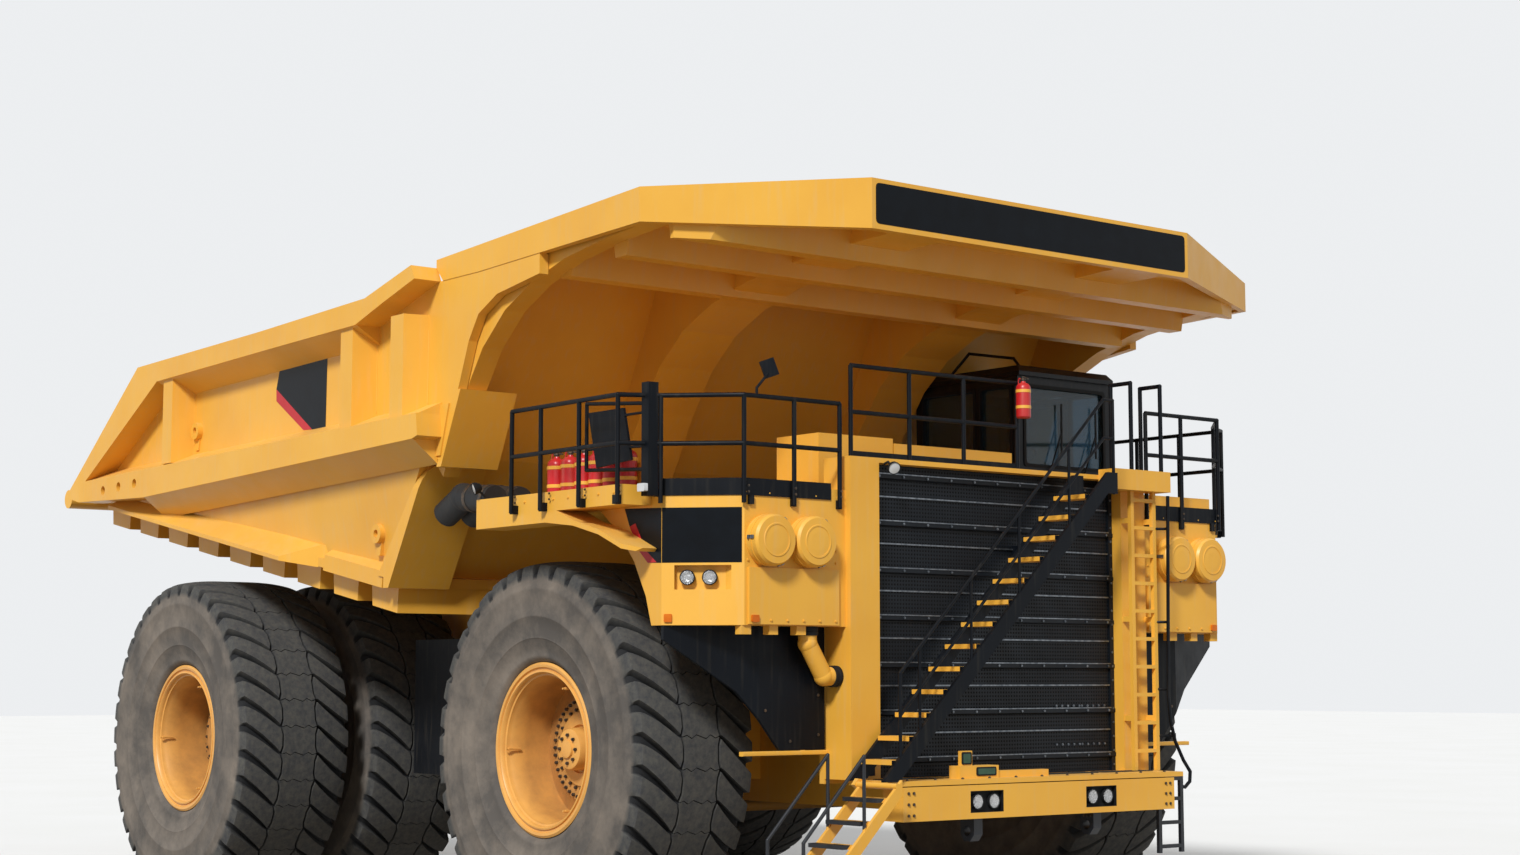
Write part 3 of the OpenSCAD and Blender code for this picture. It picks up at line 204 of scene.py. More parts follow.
# The wall with its moulded rings, as half width and radius, down to the bead
WALL_ROWS = [(0.734, 1.745), (0.742, 1.728), (0.743, 1.700), (0.737, 1.682), (0.738, 1.560), (0.732, 1.440),
             (0.737, 1.428), (0.735, 1.412), (0.727, 1.402), (0.716, 1.290), (0.702, 1.205), (0.705, 1.188),
             (0.692, 1.168), (0.672, 1.085), (0.648, 1.022), (0.652, 1.004), (0.640, 0.976), (0.612, 0.950),
             (0.585, 0.934), (0.557, 0.930), (0.556, 0.802)]
TYRE_ROWS = TREAD_ROWS + [(wide, far, wide, far, 0.15, 1.00) for wide, far in WALL_ROWS]
# The zigzag cut round the tyre: half widths that it runs in, those that step with it, and the step
CUT, STEPPED, STEP = (0.225, 0.245), (0.21, 0.26), 0.012
# a wall starts at this radius, and a groove's foot gets painted shade where it lies this deep
WALL_TOP, GROOVE_SHADE_DEPTH = 1.81, 0.01


def woven(rows, around, closed=True):
    """Faces between rows of points that each run round a ring; closed joins the last row to the first."""
    return [(j * around + i, j * around + (i + 1) % around, (j + 1) % rows * around + (i + 1) % around,
             (j + 1) % rows * around + i) for j in range(rows if closed else rows - 1) for i in range(around)]


def piece(name, parts, material, body="chassis", smooth_below=30, values=()):
    """One mesh from parts, each its points and faces, in its place on a body. Edges flatter than smooth_below
    degrees are shaded smooth; values are numbers by point, under an attribute's name."""
    points, faces = [], []
    for more_points, more_faces in parts:
        faces += [tuple(i + len(points) for i in face) for face in more_faces]
        points += more_points
    mesh = bpy.data.meshes.new(name)
    mesh.from_pydata(points, [], faces)
    mesh.materials.append(material)
    for attribute, numbers in dict(values).items():
        mesh.attributes.new(attribute, "FLOAT", "POINT").data.foreach_set("value", numbers)
    shape = bmesh.new()
    shape.from_mesh(mesh)
    bmesh.ops.remove_doubles(shape, verts=shape.verts, dist=0.00005)
    bmesh.ops.recalc_face_normals(shape, faces=shape.faces)
    shape.to_mesh(mesh)
    shape.free()
    mesh.shade_smooth()
    mesh.set_sharp_from_angle(angle=math.radians(smooth_below))
    made = placed(name, mesh)
    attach(made, body)
    return made


def tyre(centre, side):
    """Points and faces of one tyre, and two values a point: foot, 1 where a groove or the cut gets painted
    shade, and wall, 1 on the side.
    """
    points, foot, wall = [], [], []
    halves = [(-1, row) for row in reversed(TYRE_ROWS[1:])] + [(1, row) for row in TYRE_ROWS]
    for half, (y, r, y_foot, r_foot, groove, moved) in halves:
        for k in range(LUGS):
            step = (1 - 2 * groove) / 4
            # two edges and two feet of the groove, then three points across the lug
            across = [(-groove, 0), (-0.6 * groove, 1), (0.6 * groove, 1), (groove, 0)]
            across += [(groove + step * i, 0) for i in (1, 2, 3)]
            for i, (at, low) in enumerate(across):
                turn = (k + at + side * half * moved) * 2 * math.pi / LUGS
                jog = (STEP if i < 4 else -STEP) if STEPPED[0] < y < STEPPED[1] else 0
                wide, far = (y_foot, r_foot) if low else (y, r)
                points.append((centre[0] + far * math.sin(turn), centre[1] + half * (wide + jog),
                               centre[2] - far * math.cos(turn)))
                foot.append(float(low and r - r_foot > GROOVE_SHADE_DEPTH or CUT[0] < y < CUT[1]))
                wall.append(float(r < WALL_TOP))
    return points, woven(len(halves), LUGS * 7), foot, wall


def rubber_layers(tree, place, drift, side):
    """Brown grey dust on the walls, scuffed black on the lugs, and painted shade in near black in the
    grooves.
    """
    wear = add(tree, "ShaderNodeTexNoise", {"Vector": place, "Scale": 14, "Detail": 6, "Roughness": 0.7})
    scuffed = add(tree, "ShaderNodeMapRange", {"Value": wear.outputs["Fac"], "From Min": 0.35,
                                               "From Max": 0.7}).outputs[0]
    wall = add(tree, "ShaderNodeAttribute", attribute_name="wall").outputs["Fac"]
    foot = add(tree, "ShaderNodeAttribute", attribute_name="foot").outputs["Fac"]
    tone = linear("#3B3C3E")
    # the last film, near black in the grooves and the cut, is painted shade
    for share, over in ((scuffed, linear("#55544F")), (wall, side), (foot, linear("#1B1C1E"))):
        tone = add(tree, "ShaderNodeMix", {0: share, 6: tone, 7: over}, data_type="RGBA").outputs[2]
    return {"Base Color": tone}


# ground by gravel: dull, never quite black in the sun, with fine stone cuts 12 mm across
rubber = finish_of("stone_ground_tyre_rubber", "#55514D", "#7F766C", (1.6, 9, 0.66), (0.4, 0.68),
                   grain=((80, 5, 0.7), 0.35, 0.004), layers=rubber_layers, Roughness=0.82, IOR=1.5,
                   Specular_IOR_Level=0.3)
FRONT_AXLE, REAR_AXLE, AXLE_Z = 3.599, -3.596, 2.014
# Columns: tyre node, rim node, body, side of the truck, places of the tyres as x and y
WHEELS = [("tyre_front_right", "rim_front_right", "wheel_front_right", -1, [(FRONT_AXLE, -3.267)]),
          ("tyre_front_left", "rim_front_left", "wheel_front_left", 1, [(FRONT_AXLE, 3.267)]),
          ("tyres_rear_right", "rims_rear_right", "wheels_rear_right", -1,
           [(REAR_AXLE, -2.206), (REAR_AXLE, -4.026)]),
          ("tyres_rear_left", "rims_rear_left", "wheels_rear_left", 1,
           [(REAR_AXLE, 2.206), (REAR_AXLE, 4.026)])]
for tyre_node, _, body, side, places in WHEELS:
    made = [tyre((x, y, AXLE_Z), side) for x, y in places]
    marks = {"foot": sum((m[2] for m in made), []), "wall": sum((m[3] for m in made), [])}
    rolled = piece(tyre_node + "_rubber", [m[:2] for m in made], rubber, body, 38, marks)
    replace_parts(rolled, tyre_node)


# Each rim is a rolled steel barrel with a flange, a bead band and a lock ring pressed in at its outer edge.
# The disc inside carries the hub on a ring of dark studs, and three valve stems lie along the barrel.
def square_to(way):
    """Two directions square to way and to each other; the second is as upright as it can be."""
    way = Vector(way).normalized()
    across = Vector((0, 0, 1)).cross(way) if abs(way.z) < 0.99 else Vector((0, 1, 0))
    across.normalize()
    return across, way.cross(across), way


def ring(centre, way, radius, out, count):
    """Spots in a ring about a line, each a point and the way along the line."""
    across, up, along = square_to(way)
    turns = [2 * math.pi * i / count for i in range(count)]
    return [(tuple(Vector(centre) + radius * (math.sin(t) * across + math.cos(t) * up) + out * along),
             tuple(along)) for t in turns]


def turned(outline, centre, way, steps=96):
    """Points and faces of a closed outline of (radius, distance along way), turned about that line."""
    points = [point for r, out in outline for point, _ in ring(centre, way, r, out, steps)]
    return points, woven(len(outline), steps)


BARREL_R = 0.760
BARREL = [(BARREL_R, -0.590), (0.775, -0.612), (0.900, -0.612), (0.927, -0.600), (0.927, -0.575),
          (0.900, -0.560), (0.802, -0.556), (0.802, 0.556), (0.900, 0.560), (0.927, 0.578), (0.929, 0.600),
          (0.905, 0.616), (0.878, 0.612), (0.868, 0.590), (0.846, 0.588), (0.842, 0.606), (0.826, 0.610),
          (0.812, 0.592), (0.806, 0.560), (0.788, 0.552), (0.780, 0.500), (0.766, 0.480), (BARREL_R, 0.300)]
FRONT_DISC = [(0.440, -0.020), (0.764, -0.060), (0.764, 0.010), (0.600, 0.048), (0.560, 0.078),
              (0.440, 0.084)]
# the hubs are bored for the spindle and for the axle tube
FRONT_HUB = [(0.1805, -0.560), (0.470, -0.560), (0.470, 0.080), (0.405, 0.086), (0.395, 0.110),
             (0.262, 0.118), (0.250, 0.090), (0.232, 0.092), (0.226, 0.225), (0.214, 0.262), (0.190, 0.272),
             (0.100, 0.274), (0.094, 0.300), (0.060, 0.306), (0.0002, 0.306), (0.0002, 0.150),
             (0.1805, 0.150)]
REAR_HUB = [(0.5004, 1.650), (0.620, 1.650), (0.620, 2.750), (0.765, 2.750), (0.765, 3.500), (0.700, 3.504),
            (0.690, 3.540), (0.640, 3.560), (0.640, 3.960), (0.618, 3.985), (0.600, 4.010), (0.500, 4.040),
            (0.480, 4.090), (0.400, 4.120), (0.300, 4.128), (0.290, 4.160), (0.180, 4.178), (0.170, 4.196),
            (0.0002, 4.200), (0.0002, 4.090), (0.460, 3.990), (0.5004, 3.950)]
# Rings of studs: radius, distance out, how many
FRONT_STUDS = [(0.520, 0.080, 40), (0.430, 0.084, 24), (0.150, 0.272, 8)]
REAR_STUDS = [(0.730, 3.501, 44), (0.560, 4.022, 36), (0.350, 4.124, 16)]
STUD_R, STUD_HEIGHT = 0.021, 0.022


def rim_layers(tree, place, drift, coat):
    """Painted shade over the coat: brown, and thicker the deeper in the wheel."""
    share = add(tree, "ShaderNodeMapRange", {"Value": drift, "From Min": 0.35, "From Max": 0.65}).outputs[0]
    shaded_tone = add(tree, "ShaderNodeMix", {0: share, 6: linear("#B27C45"), 7: linear("#88623F")},
                 data_type="RGBA")
    # painted shade, by how deep in the wheel a point lies
    deep = add(tree, "ShaderNodeAttribute", attribute_name="deep").outputs["Fac"]
    painted_shade = add(tree, "ShaderNodeMapRange", {"Value": deep, "To Max": 0.75}).outputs[0]
    tone = add(tree, "ShaderNodeMix", {0: painted_shade, 6: coat, 7: shaded_tone.outputs[2]}, data_type="RGBA").outputs[2]
    dents = add(tree, "ShaderNodeBump", {"Height": drift, "Strength": 0.08, "Distance": 0.01}).outputs[0]
    return {"Base Color": tone, "Normal": dents}


# the same yellow, paler at the flange, with painted shade in brown inside the barrel
rim_coat = finish_of("rim_enamel_painted_shade", "#E3A854", "#D79C4E", (4, 8, 0.65), (0.4, 0.7), layers=rim_layers,
                     Roughness=0.42, IOR=1.5, Specular_IOR_Level=0.45)
# oiled and a little rusted, so nearly black against the yellow
nut_steel = finish_of("oiled_black_nut_steel", "#4A4743", "#6E5A48", (30, 6, 0.5), (0.4, 0.7), Roughness=0.5,
                      Metallic=0.8)


def bolt_tree():
    """Geometry Nodes: a hexagon head with its round end on each point, looking along the point's facing."""
    tree = bpy.data.node_groups.new("hexagon_heads", "GeometryNodeTree")
    face = tree.interface
    face.new_socket("Points", in_out="INPUT", socket_type="NodeSocketGeometry")
    for name, value in (("Head Radius", 0.015), ("Head Height", 0.012)):
        face.new_socket(name, in_out="INPUT", socket_type="NodeSocketFloat").default_value = value
    face.new_socket("Finish", in_out="INPUT", socket_type="NodeSocketMaterial")
    face.new_socket("Heads", in_out="OUTPUT", socket_type="NodeSocketGeometry")
    given = add(tree, "NodeGroupInput").outputs
    height = given["Head Height"]
    half = add(tree, "ShaderNodeMath", {0: height, 1: 0.5}, operation="MULTIPLY").outputs[0]
    small = add(tree, "ShaderNodeMath", {0: given["Head Radius"], 1: 0.55}, operation="MULTIPLY").outputs[0]
    both = add(tree, "GeometryNodeJoinGeometry")
    for sides, radius, rise in ((6, given["Head Radius"], half), (8, small, height)):
        post = add(tree, "GeometryNodeMeshCylinder", {"Vertices": sides, "Radius": radius, "Depth": height})
        lift = add(tree, "ShaderNodeCombineXYZ", {"Z": rise}).outputs[0]
        lifted = add(tree, "GeometryNodeTransform", {"Geometry": post.outputs["Mesh"], "Translation": lift})
        tree.links.new(lifted.outputs[0], both.inputs[0])
    facing = add(tree, "GeometryNodeInputNamedAttribute", {"Name": "facing"}, data_type="FLOAT_VECTOR")
    look = add(tree, "FunctionNodeAlignRotationToVector", {"Vector": facing.outputs[0]}, axis="Z")
    heads = add(tree, "GeometryNodeInstanceOnPoints", {"Points": given["Points"], "Instance": both.outputs[0],
                                                      "Rotation": look.outputs[0]})
    real = add(tree, "GeometryNodeRealizeInstances", {"Geometry": heads.outputs[0]})
    last = add(tree, "GeometryNodeSetMaterial", {"Geometry": real.outputs[0], "Material": given["Finish"]})
    add(tree, "NodeGroupOutput", {"Heads": last.outputs[0]})
    return tree


HEXAGON_HEADS = bolt_tree()


def bolts(name, spots, radius, height, material, body="chassis"):
    """Bolt heads on spots, each a point and the way that it faces, grown by the tree and kept as a mesh."""
    start = bpy.data.meshes.new(name + "_points")
    start.from_pydata([point for point, _ in spots], [], [])
    facing = start.attributes.new("facing", "FLOAT_VECTOR", "POINT")
    facing.data.foreach_set("vector", [c for _, way in spots for c in way])
    made = placed(name, start)
    maker = made.modifiers.new("grow", "NODES")
    maker.node_group = HEXAGON_HEADS
    values = {"Head Radius": radius, "Head Height": height, "Finish": material}
    for item in HEXAGON_HEADS.interface.items_tree:
        if item.name in values:
            maker[item.identifier] = values[item.name]
    made.data = bpy.data.meshes.new_from_object(made.evaluated_get(bpy.context.evaluated_depsgraph_get()))
    made.data.name = name
    made.modifiers.clear()
    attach(made, body)


# A valve stem in six sides, 22 mm in from the barrel: distance out and radius, from its hole to its cap
STEM = [(0.400, 0.010), (0.520, 0.010), (0.522, 0.016), (0.560, 0.016), (0.562, 0.011), (0.590, 0.011)]
STEM_R = BARREL_R - 0.022


def stem(centre, side, turn):
    """Points and faces of one valve stem."""
    points = []
    for out, r in STEM:
        for i in range(6):
            swing = math.pi * i / 3
            far = STEM_R + r * math.sin(swing)
            wide = turn + r * math.cos(swing) / far
            points.append((centre[0] + far * math.sin(wide), centre[1] + side * out,
                           centre[2] + far * math.cos(wide)))
    return points, woven(6, 6, closed=False) + [(5, 4, 3, 2, 1, 0), (30, 31, 32, 33, 34, 35)]


# Painted shade starts this far out from the tyre's middle, is whole this much deeper, and thins towards a
# front hub
UNSHADED_OUT, FULL_SHADE_DEPTH, HUB_REACH = 0.62, 0.45, 0.5
for _, rim_node, body, side, places in WHEELS:
    way = (0, side, 0)
    outer, middle = (places[-1][0], places[-1][1], AXLE_Z), (places[-1][0], 0, AXLE_Z)
    parts = [turned(BARREL, (x, y, AXLE_Z), way) for x, y in places]
    front = rim_node.startswith("rim_front")
    if front:
        parts += [turned(FRONT_DISC, outer, way), turned(FRONT_HUB, outer, way)]
        studs = [spot for row in FRONT_STUDS for spot in ring(outer, way, *row)]
    else:
        parts.append(turned(REAR_HUB, middle, way))
        studs = [spot for row in REAR_STUDS for spot in ring(middle, way, *row)]
    parts += [stem((x, y, AXLE_Z), side, turn) for x, y in places for turn in (0.5, 2.6, 4.7)]
    # painted shade: none at the wheel's outer face, whole deeper in, less near a front hub
    deep = []
    for x, y, z in (point for points, _ in parts for point in points):
        shade_share = min(1.0, max(0.0, (UNSHADED_OUT - side * (y - outer[1])) / FULL_SHADE_DEPTH))
        near = min(1.0, math.hypot(x - outer[0], z - outer[2]) / HUB_REACH) if front else 1
        deep.append(shade_share * near ** 3)
    rim = piece(rim_node + "_steel", parts, rim_coat, body, 34, {"deep": deep})
    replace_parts(rim, rim_node)
    bolts(rim_node + "_studs", studs, STUD_R, STUD_HEIGHT, nut_steel, body)


# The bumper is a box beam under a tread-plate platform, with towing hooks forged and bolted below it. Two
# pairs of round lamps sit in pockets in its face, whose flat black lining is painted shade, and a small
# control box stands on the platform.
def below(height):
    """The share of the coat that is black: all of it under a height in metres."""
    def share(tree, place):
        z = add(tree, "ShaderNodeSeparateXYZ", {"Vector": place}).outputs["Z"]
        return add(tree, "ShaderNodeMath", {0: z, 1: height}, operation="LESS_THAN").outputs[0]
    return share


def plate(outline, depth):
    """Points and faces of a flat outline in space, made thick along depth."""
    count = len(outline)
    points = [tuple(p) for p in outline] + [tuple(Vector(p) + Vector(depth)) for p in outline]
    faces = [tuple(range(count)), tuple(reversed(range(count, 2 * count)))]
    return points, faces + [(i, i + count, (i + 1) % count + count, (i + 1) % count) for i in range(count)]


def eased(corners, radius, steps=3):
    """A flat outline in space with its corners rounded."""
    out = []
    for i, corner in enumerate(corners):
        corner, before = Vector(corner), Vector(corners[i - 1])
        after = Vector(corners[(i + 1) % len(corners)])
        reach = min(radius, (before - corner).length / 2.1, (after - corner).length / 2.1)
        start = corner + (before - corner).normalized() * reach
        end = corner + (after - corner).normalized() * reach
        for t in (k / steps for k in range(steps + 1)):
            out.append((1 - t) ** 2 * start + 2 * t * (1 - t) * corner + t ** 2 * end)
    return out


def oblong(low, high):
    """The four corners of an oblong, as pairs, in turn round it."""
    return [low, (high[0], low[1]), high, (low[0], high[1])]


def box(low, high, radius=0.0, axis=0):
    """Points and faces of a block whose edges along one axis are rounded."""
    a, b = [i for i in range(3) if i != axis]
    corners = []
    for at_a, at_b in oblong((low[a], low[b]), (high[a], high[b])):
        corner = Vector(low)
        corner[a], corner[b] = at_a, at_b
        corners.append(corner)
    depth = [0.0, 0.0, 0.0]
    depth[axis] = high[axis] - low[axis]
    return plate(eased(corners, radius) if radius else corners, depth)


def pair(low, high, *rounding):
    """The points and faces of a block on the left, and of its mirror on the right."""
    right = box((low[0], -high[1], low[2]), (high[0], -low[1], high[2]), *rounding)
    return [right, box(low, high, *rounding)]


def drawn(shares, radius, length):
    """An outline to turn, from shares of a radius and a length. It stops 0.2 mm off the axis."""
    return [(max(0.0002, wide * radius), along * length) for wide, along in shares]


def plastic(name, colour, mottled, roughness, gloss=0.22):
    """Moulded plastic, film or cloth, faintly mottled, with a fine grain."""
    return finish_of(name, colour, mottled, (5, 6, 0.6), (0.35, 0.68), grain=((400, 2, 0.5), 0.15, 0.001),
                     Roughness=roughness, IOR=1.5, Specular_IOR_Level=gloss)


FORWARD, UP, SIDES = (1, 0, 0), (0, 0, 1), (-1, 1)
# near black, with a blue cast that is a painted reflection of the sky, and glossier than the yellow
black = enamel("black_rail_enamel_painted_sky", "#06090E", "#0B1017", "#4A463E", 0.36, 0.14, gloss=0.13)
# flat black for rubber and trim, and painted shade where it lines the lamp pockets, so that a pocket reads as
# a dark hole
flat_black_and_pocket_shade = plastic("flat_black_trim_and_pocket_shade", "#101113", "#191A1B", 0.7)
# clear orange with a shine
amber = plastic("amber_marker_plastic", "#C8600F", "#D8761A", 0.25)
# unlit, so only a dull green behind its gloss
screen_green = plastic("dim_green_screen", "#2E4A3C", "#3B5A48", 0.12)
# grit that takes every highlight away
grip_black = plastic("gritty_black_deck_mat", "#202123", "#33322F", 0.9)
# the hooks below the beam are black, and its top is dustier than the truck's
HOOK_TOP = 1.345
paint(enamel("bumper_enamel_dark_hooks", GOLD, FADED_GOLD, SAND, 0.36, 0.45, below(HOOK_TOP)), "bumper")


def flutes(tree, place, drift, tone):
    """Upright flutes pressed into the glass, 10 mm apart."""
    ribs = add(tree, "ShaderNodeTexWave", {"Vector": place, "Scale": 30}, bands_direction="Y").outputs["Fac"]
    bump = add(tree, "ShaderNodeBump", {"Height": ribs, "Strength": 0.25, "Distance": 0.003})
    return {"Normal": bump.outputs[0]}


# clear glass whose flutes break the bright bowl behind it into soft streaks
lamp_glass = finish_of("fluted_lamp_glass", "#E6E7E8", "#E8E7E6", (5, 6, 0.6), layers=flutes,
                       Transmission_Weight=0.9, Roughness=0.08, IOR=1.5)
# vacuum-plated, the brightest metal on the truck
bright_bowl = finish_of("plated_lamp_bowl", "#E6E8EA", "#F4F5F6", (60, 3, 0.5), Metallic=0.9, Roughness=0.22)

# The fenders' slanted corner: where it starts, and its two directions, along the slant and in from its face
CORNER_X, CORNER_Y = 6.62, 3.51
ALONG, INWARD = (-0.72499, 0.68874), (-0.68874, -0.72499)


def on_corner(side, along, inward, z):
    """A point on the slanted corner of a fender."""
    return (CORNER_X + along * ALONG[0] + inward * INWARD[0],
            side * (CORNER_Y + along * ALONG[1] + inward * INWARD[1]), z)


def off_corner(side, out):
    """A step straight out from the slanted corner."""
    return (-out * INWARD[0], -out * side * INWARD[1], 0)


# Lamps of the bumper and of the fenders' corners: centre of the back, the way it looks, radius and depth
BUMPER_FACE, POCKET_BACK = 7.25, 7.19
lamps = [((POCKET_BACK, side * y, 1.52), FORWARD, 0.080, 0.050) for side in SIDES for y in (0.730, 0.960)]
lamps += [(on_corner(side, along, 0.090, 3.76), off_corner(side, 1), 0.075, 0.080)
          for side in SIDES for along in (0.350, 0.575)]
# Outlines in shares of the radius and the depth: the cup, the bowl with its bulb, and the glass
CUP = [(0, 0), (0.7, 0), (1, 0.4), (1, 1), (0.9, 1), (0.9, 0.7), (0.6, 0.3), (0, 0.12)]
BOWL = [(0, 0.2), (0.58, 0.36), (0.88, 0.74), (0.88, 0.78), (0.55, 0.42), (0.16, 0.3), (0.14, 0.6),
        (0, 0.62)]
LENS = [(0, 0.9), (0.89, 0.82), (0.89, 0.88), (0.6, 0.96), (0, 0.99)]
cups, bowls, lenses = [[turned(drawn(shares, r, depth), centre, way, 32) for centre, way, r, depth in lamps]
                       for shares in (CUP, BOWL, LENS)]
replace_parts(piece("lamp_cups", cups, flat_black_and_pocket_shade), "headlamps")
piece("lamp_bowls", bowls, bright_bowl)
piece("lamp_lenses", lenses, lamp_glass)

# painted shade: a 4 mm flat black lining in each pocket of the bumper: back, floor and roof, two ends
POCKET_LOW, POCKET_HIGH, LINING = (0.612, 1.412), (1.078, 1.628), 0.004
lined, mouth = POCKET_BACK + LINING, BUMPER_FACE - 0.001
(inner, floor_z), (outer, roof_z) = POCKET_LOW, POCKET_HIGH
pocket_shade_linings = pair((POCKET_BACK + 0.0005, *POCKET_LOW), (lined, *POCKET_HIGH))
for z in (floor_z, roof_z - LINING):
    pocket_shade_linings += pair((lined, inner, z), (mouth, outer, z + LINING))
for y in (inner, outer - LINING):
    pocket_shade_linings += pair((lined, y, floor_z + LINING), (mouth, y + LINING, roof_z - LINING))
piece("lamp_pocket_painted_shade", pocket_shade_linings, flat_black_and_pocket_shade)

# control box: black frames round dim green screens, as low corner, high corner and rounding
frames = [box((7.150, -0.90, 1.775), (7.158, -0.62, 1.865), 0.02),
          box((7.080, -1.04, 1.890), (7.086, -0.90, 2.018), 0.02)]
screens = [box((7.158, -0.88, 1.790), (7.162, -0.64, 1.850), 0.01),
           box((7.086, -1.02, 1.905), (7.089, -0.92, 2.000), 0.01)]
piece("control_box_frames", frames, flat_black_and_pocket_shade)
piece("control_box_screens", screens, screen_green)
PLATFORM_TOP, MAT_LENGTH = 1.75, 0.80
mats = [box((6.72, y, PLATFORM_TOP + 0.0005), (6.94, y + MAT_LENGTH, PLATFORM_TOP + 0.006), 0.03, axis=2)
        for y in (-1.95, 0.35, 1.22)]
piece("platform_mats", mats, grip_black)
# amber markers at the corners of both fenders: one on the raised box, one on the slant
markers = pair((6.651, 3.36, 3.32), (6.672, 3.45, 3.39), 0.012)
for side in SIDES:
    slanted = [on_corner(side, along, 0, z) for along, z in oblong((0.72, 3.32), (0.80, 3.40))]
    markers.append(plate(eased(slanted, 0.012), off_corner(side, 0.022)))
piece("corner_markers", markers, amber)
# bolts at the beam's outer ends, on the hooks' inner sides and along the platform's front edge
heads = [((BUMPER_FACE + 0.001, side * y, z), FORWARD) for side in SIDES for y in (1.86, 1.93)
         for z in (1.41, 1.52, 1.63)]
heads += [((7.02 + 0.05 * i, side * 0.819, 1.31), (0, -side, 0)) for side in SIDES for i in range(3)]
heads += [((7.20, -1.9 + 0.38 * i, PLATFORM_TOP + 0.001), UP) for i in range(11)]
bolts("bumper_bolts", heads, 0.016, 0.011, nut_steel)


# The radiator guard is a black frame with screens of punched sheet between seven cross bars, hung on hinges
# and bolted all round. Light shows as fine dots on the sheet and as thin bright lines along the bars.

# Fronts of the bars and of the sheet, the bars' places in height, and the holes' pitch. The real holes are
# 10 mm ones; the drawn ones are 24 mm at 40 mm, because a picture can't hold the real pitch.
BAR_FRONT, SHEET_FRONT = 6.575, 6.540
BAR_Z = [1.93 + 0.48833 * i for i in range(7)]
HOLE_PITCH = 0.040


def punched(tree, place, drift, coat):
    """Round holes through the sheet's face; bars, edges and whatever stands before the sheet stay whole."""
    axes = add(tree, "ShaderNodeSeparateXYZ", {"Vector": place}).outputs
    # how far off the middle of its cell a point lies, squared, in pitches
    far = []
    for axis in "YZ":
        cell = axes[axis]
        for operation, by in (("MULTIPLY", 1 / HOLE_PITCH), ("FRACT", 0), ("SUBTRACT", 0.5)):
            cell = add(tree, "ShaderNodeMath", {0: cell, 1: by}, operation=operation).outputs[0]
        far.append(add(tree, "ShaderNodeMath", {0: cell, 1: cell}, operation="MULTIPLY").outputs[0])
    off = add(tree, "ShaderNodeMath", {0: far[0], 1: far[1]}, operation="ADD").outputs[0]
    solid = add(tree, "ShaderNodeMapRange", {"Value": off, "From Min": 0.07, "From Max": 0.11}).outputs[0]
    normal = add(tree, "ShaderNodeNewGeometry").outputs["Normal"]
    ahead = add(tree, "ShaderNodeSeparateXYZ", {"Vector": normal}).outputs["X"]
    edge = add(tree, "ShaderNodeMath", {0: ahead, 1: 0.9}, operation="LESS_THAN").outputs[0]
    bar = add(tree, "ShaderNodeMath", {0: axes["X"], 1: SHEET_FRONT + 0.005},
              operation="GREATER_THAN").outputs[0]
    for whole in (edge, bar):
        solid = add(tree, "ShaderNodeMath", {0: solid, 1: whole}, operation="MAXIMUM").outputs[0]
    tone = add(tree, "ShaderNodeMix", {0: solid, 6: linear("#020304"), 7: coat}, data_type="RGBA").outputs[2]
    rough = add(tree, "ShaderNodeMapRange", {"Value": solid, "To Min": 0.9, "To Max": 0.4}).outputs[0]
    dips = add(tree, "ShaderNodeBump", {"Height": solid, "Strength": 0.6, "Distance": 0.004}).outputs[0]
    return {"Base Color": tone, "Roughness": rough, "Normal": dips}


# black with a blue cast, a painted reflection of the sky, with matt dark dots where the radiator's shade
# shows through
screen = finish_of("punched_black_screen", "#0A0F15", "#171C22", (1.3, 7, 0.6), (0.35, 0.7), layers=punched,
                   IOR=1.5, Specular_IOR_Level=0.2)
paint(screen, "grille")
paint(golden, "grille_pillars")
# grey and half bright steel: rubbed bare on latches and bolts, and a painted highlight as strips on the guard
bare_steel_and_highlight = finish_of("bare_steel_and_painted_highlight", "#5C6269", "#8E9398", (18, 6, 0.7), (0.4, 0.65), (0.3, 0.5),
                       Metallic=0.9)
# painted highlights: one strip on the edge of each bar, and one across each screen between them
highlight_strips = [box((BAR_FRONT, -1.74, z + 0.022), (BAR_FRONT + 0.006, 1.74, z + 0.034)) for z in BAR_Z]
highlight_strips += [box((SHEET_FRONT, -1.745, z + 0.27), (SHEET_FRONT + 0.016, 1.745, z + 0.285)) for z in BAR_Z[:6]]
piece("guard_bar_painted_highlights", highlight_strips, bare_steel_and_highlight)
# bolts along the bars and down both edges, then a patch in rows of five low on the left
heads = [((BAR_FRONT + 0.0005, -1.70 + 0.34 * i, z), FORWARD) for z in BAR_Z for i in range(11)]
heads += [((6.5655, side * 1.78, 1.82 + 0.155 * i), FORWARD) for side in SIDES for i in range(20)]
heads += [((SHEET_FRONT + 0.0005, 0.9 + 0.09 * i + 0.4 * block, 2.05 + 0.42 * row), FORWARD)
          for block in range(2) for row in range(2) for i in range(5)]
bolts("guard_bolts", heads, 0.014, 0.010, bare_steel_and_highlight)


# The fenders are welded boxes over the front wheels: 8 mm plate with a slanted front corner, a lamp pocket
# and a pair of air cleaner cans on the front. A black panel with a red edge runs round the corner.
def on_side(side, plane, outline, layer):
    """Points and faces of a sheet or a film on a side face, from its outline as x and z."""
    off, thick = layer
    return plate([(x, side * (plane + off), z) for x, z in outline], (0, side * thick, 0))


# black whose blue cast is a faint painted reflection of the sky, and a clear warm red
panel_black = plastic("black_panel_film", "#06090E", "#0A0F15", 0.3, gloss=0.12)
red_film = plastic("red_stripe_film", "#B5202A", "#BE2A33", 0.3)
paint(golden, "fender_right", "fender_left", "centre_deck")
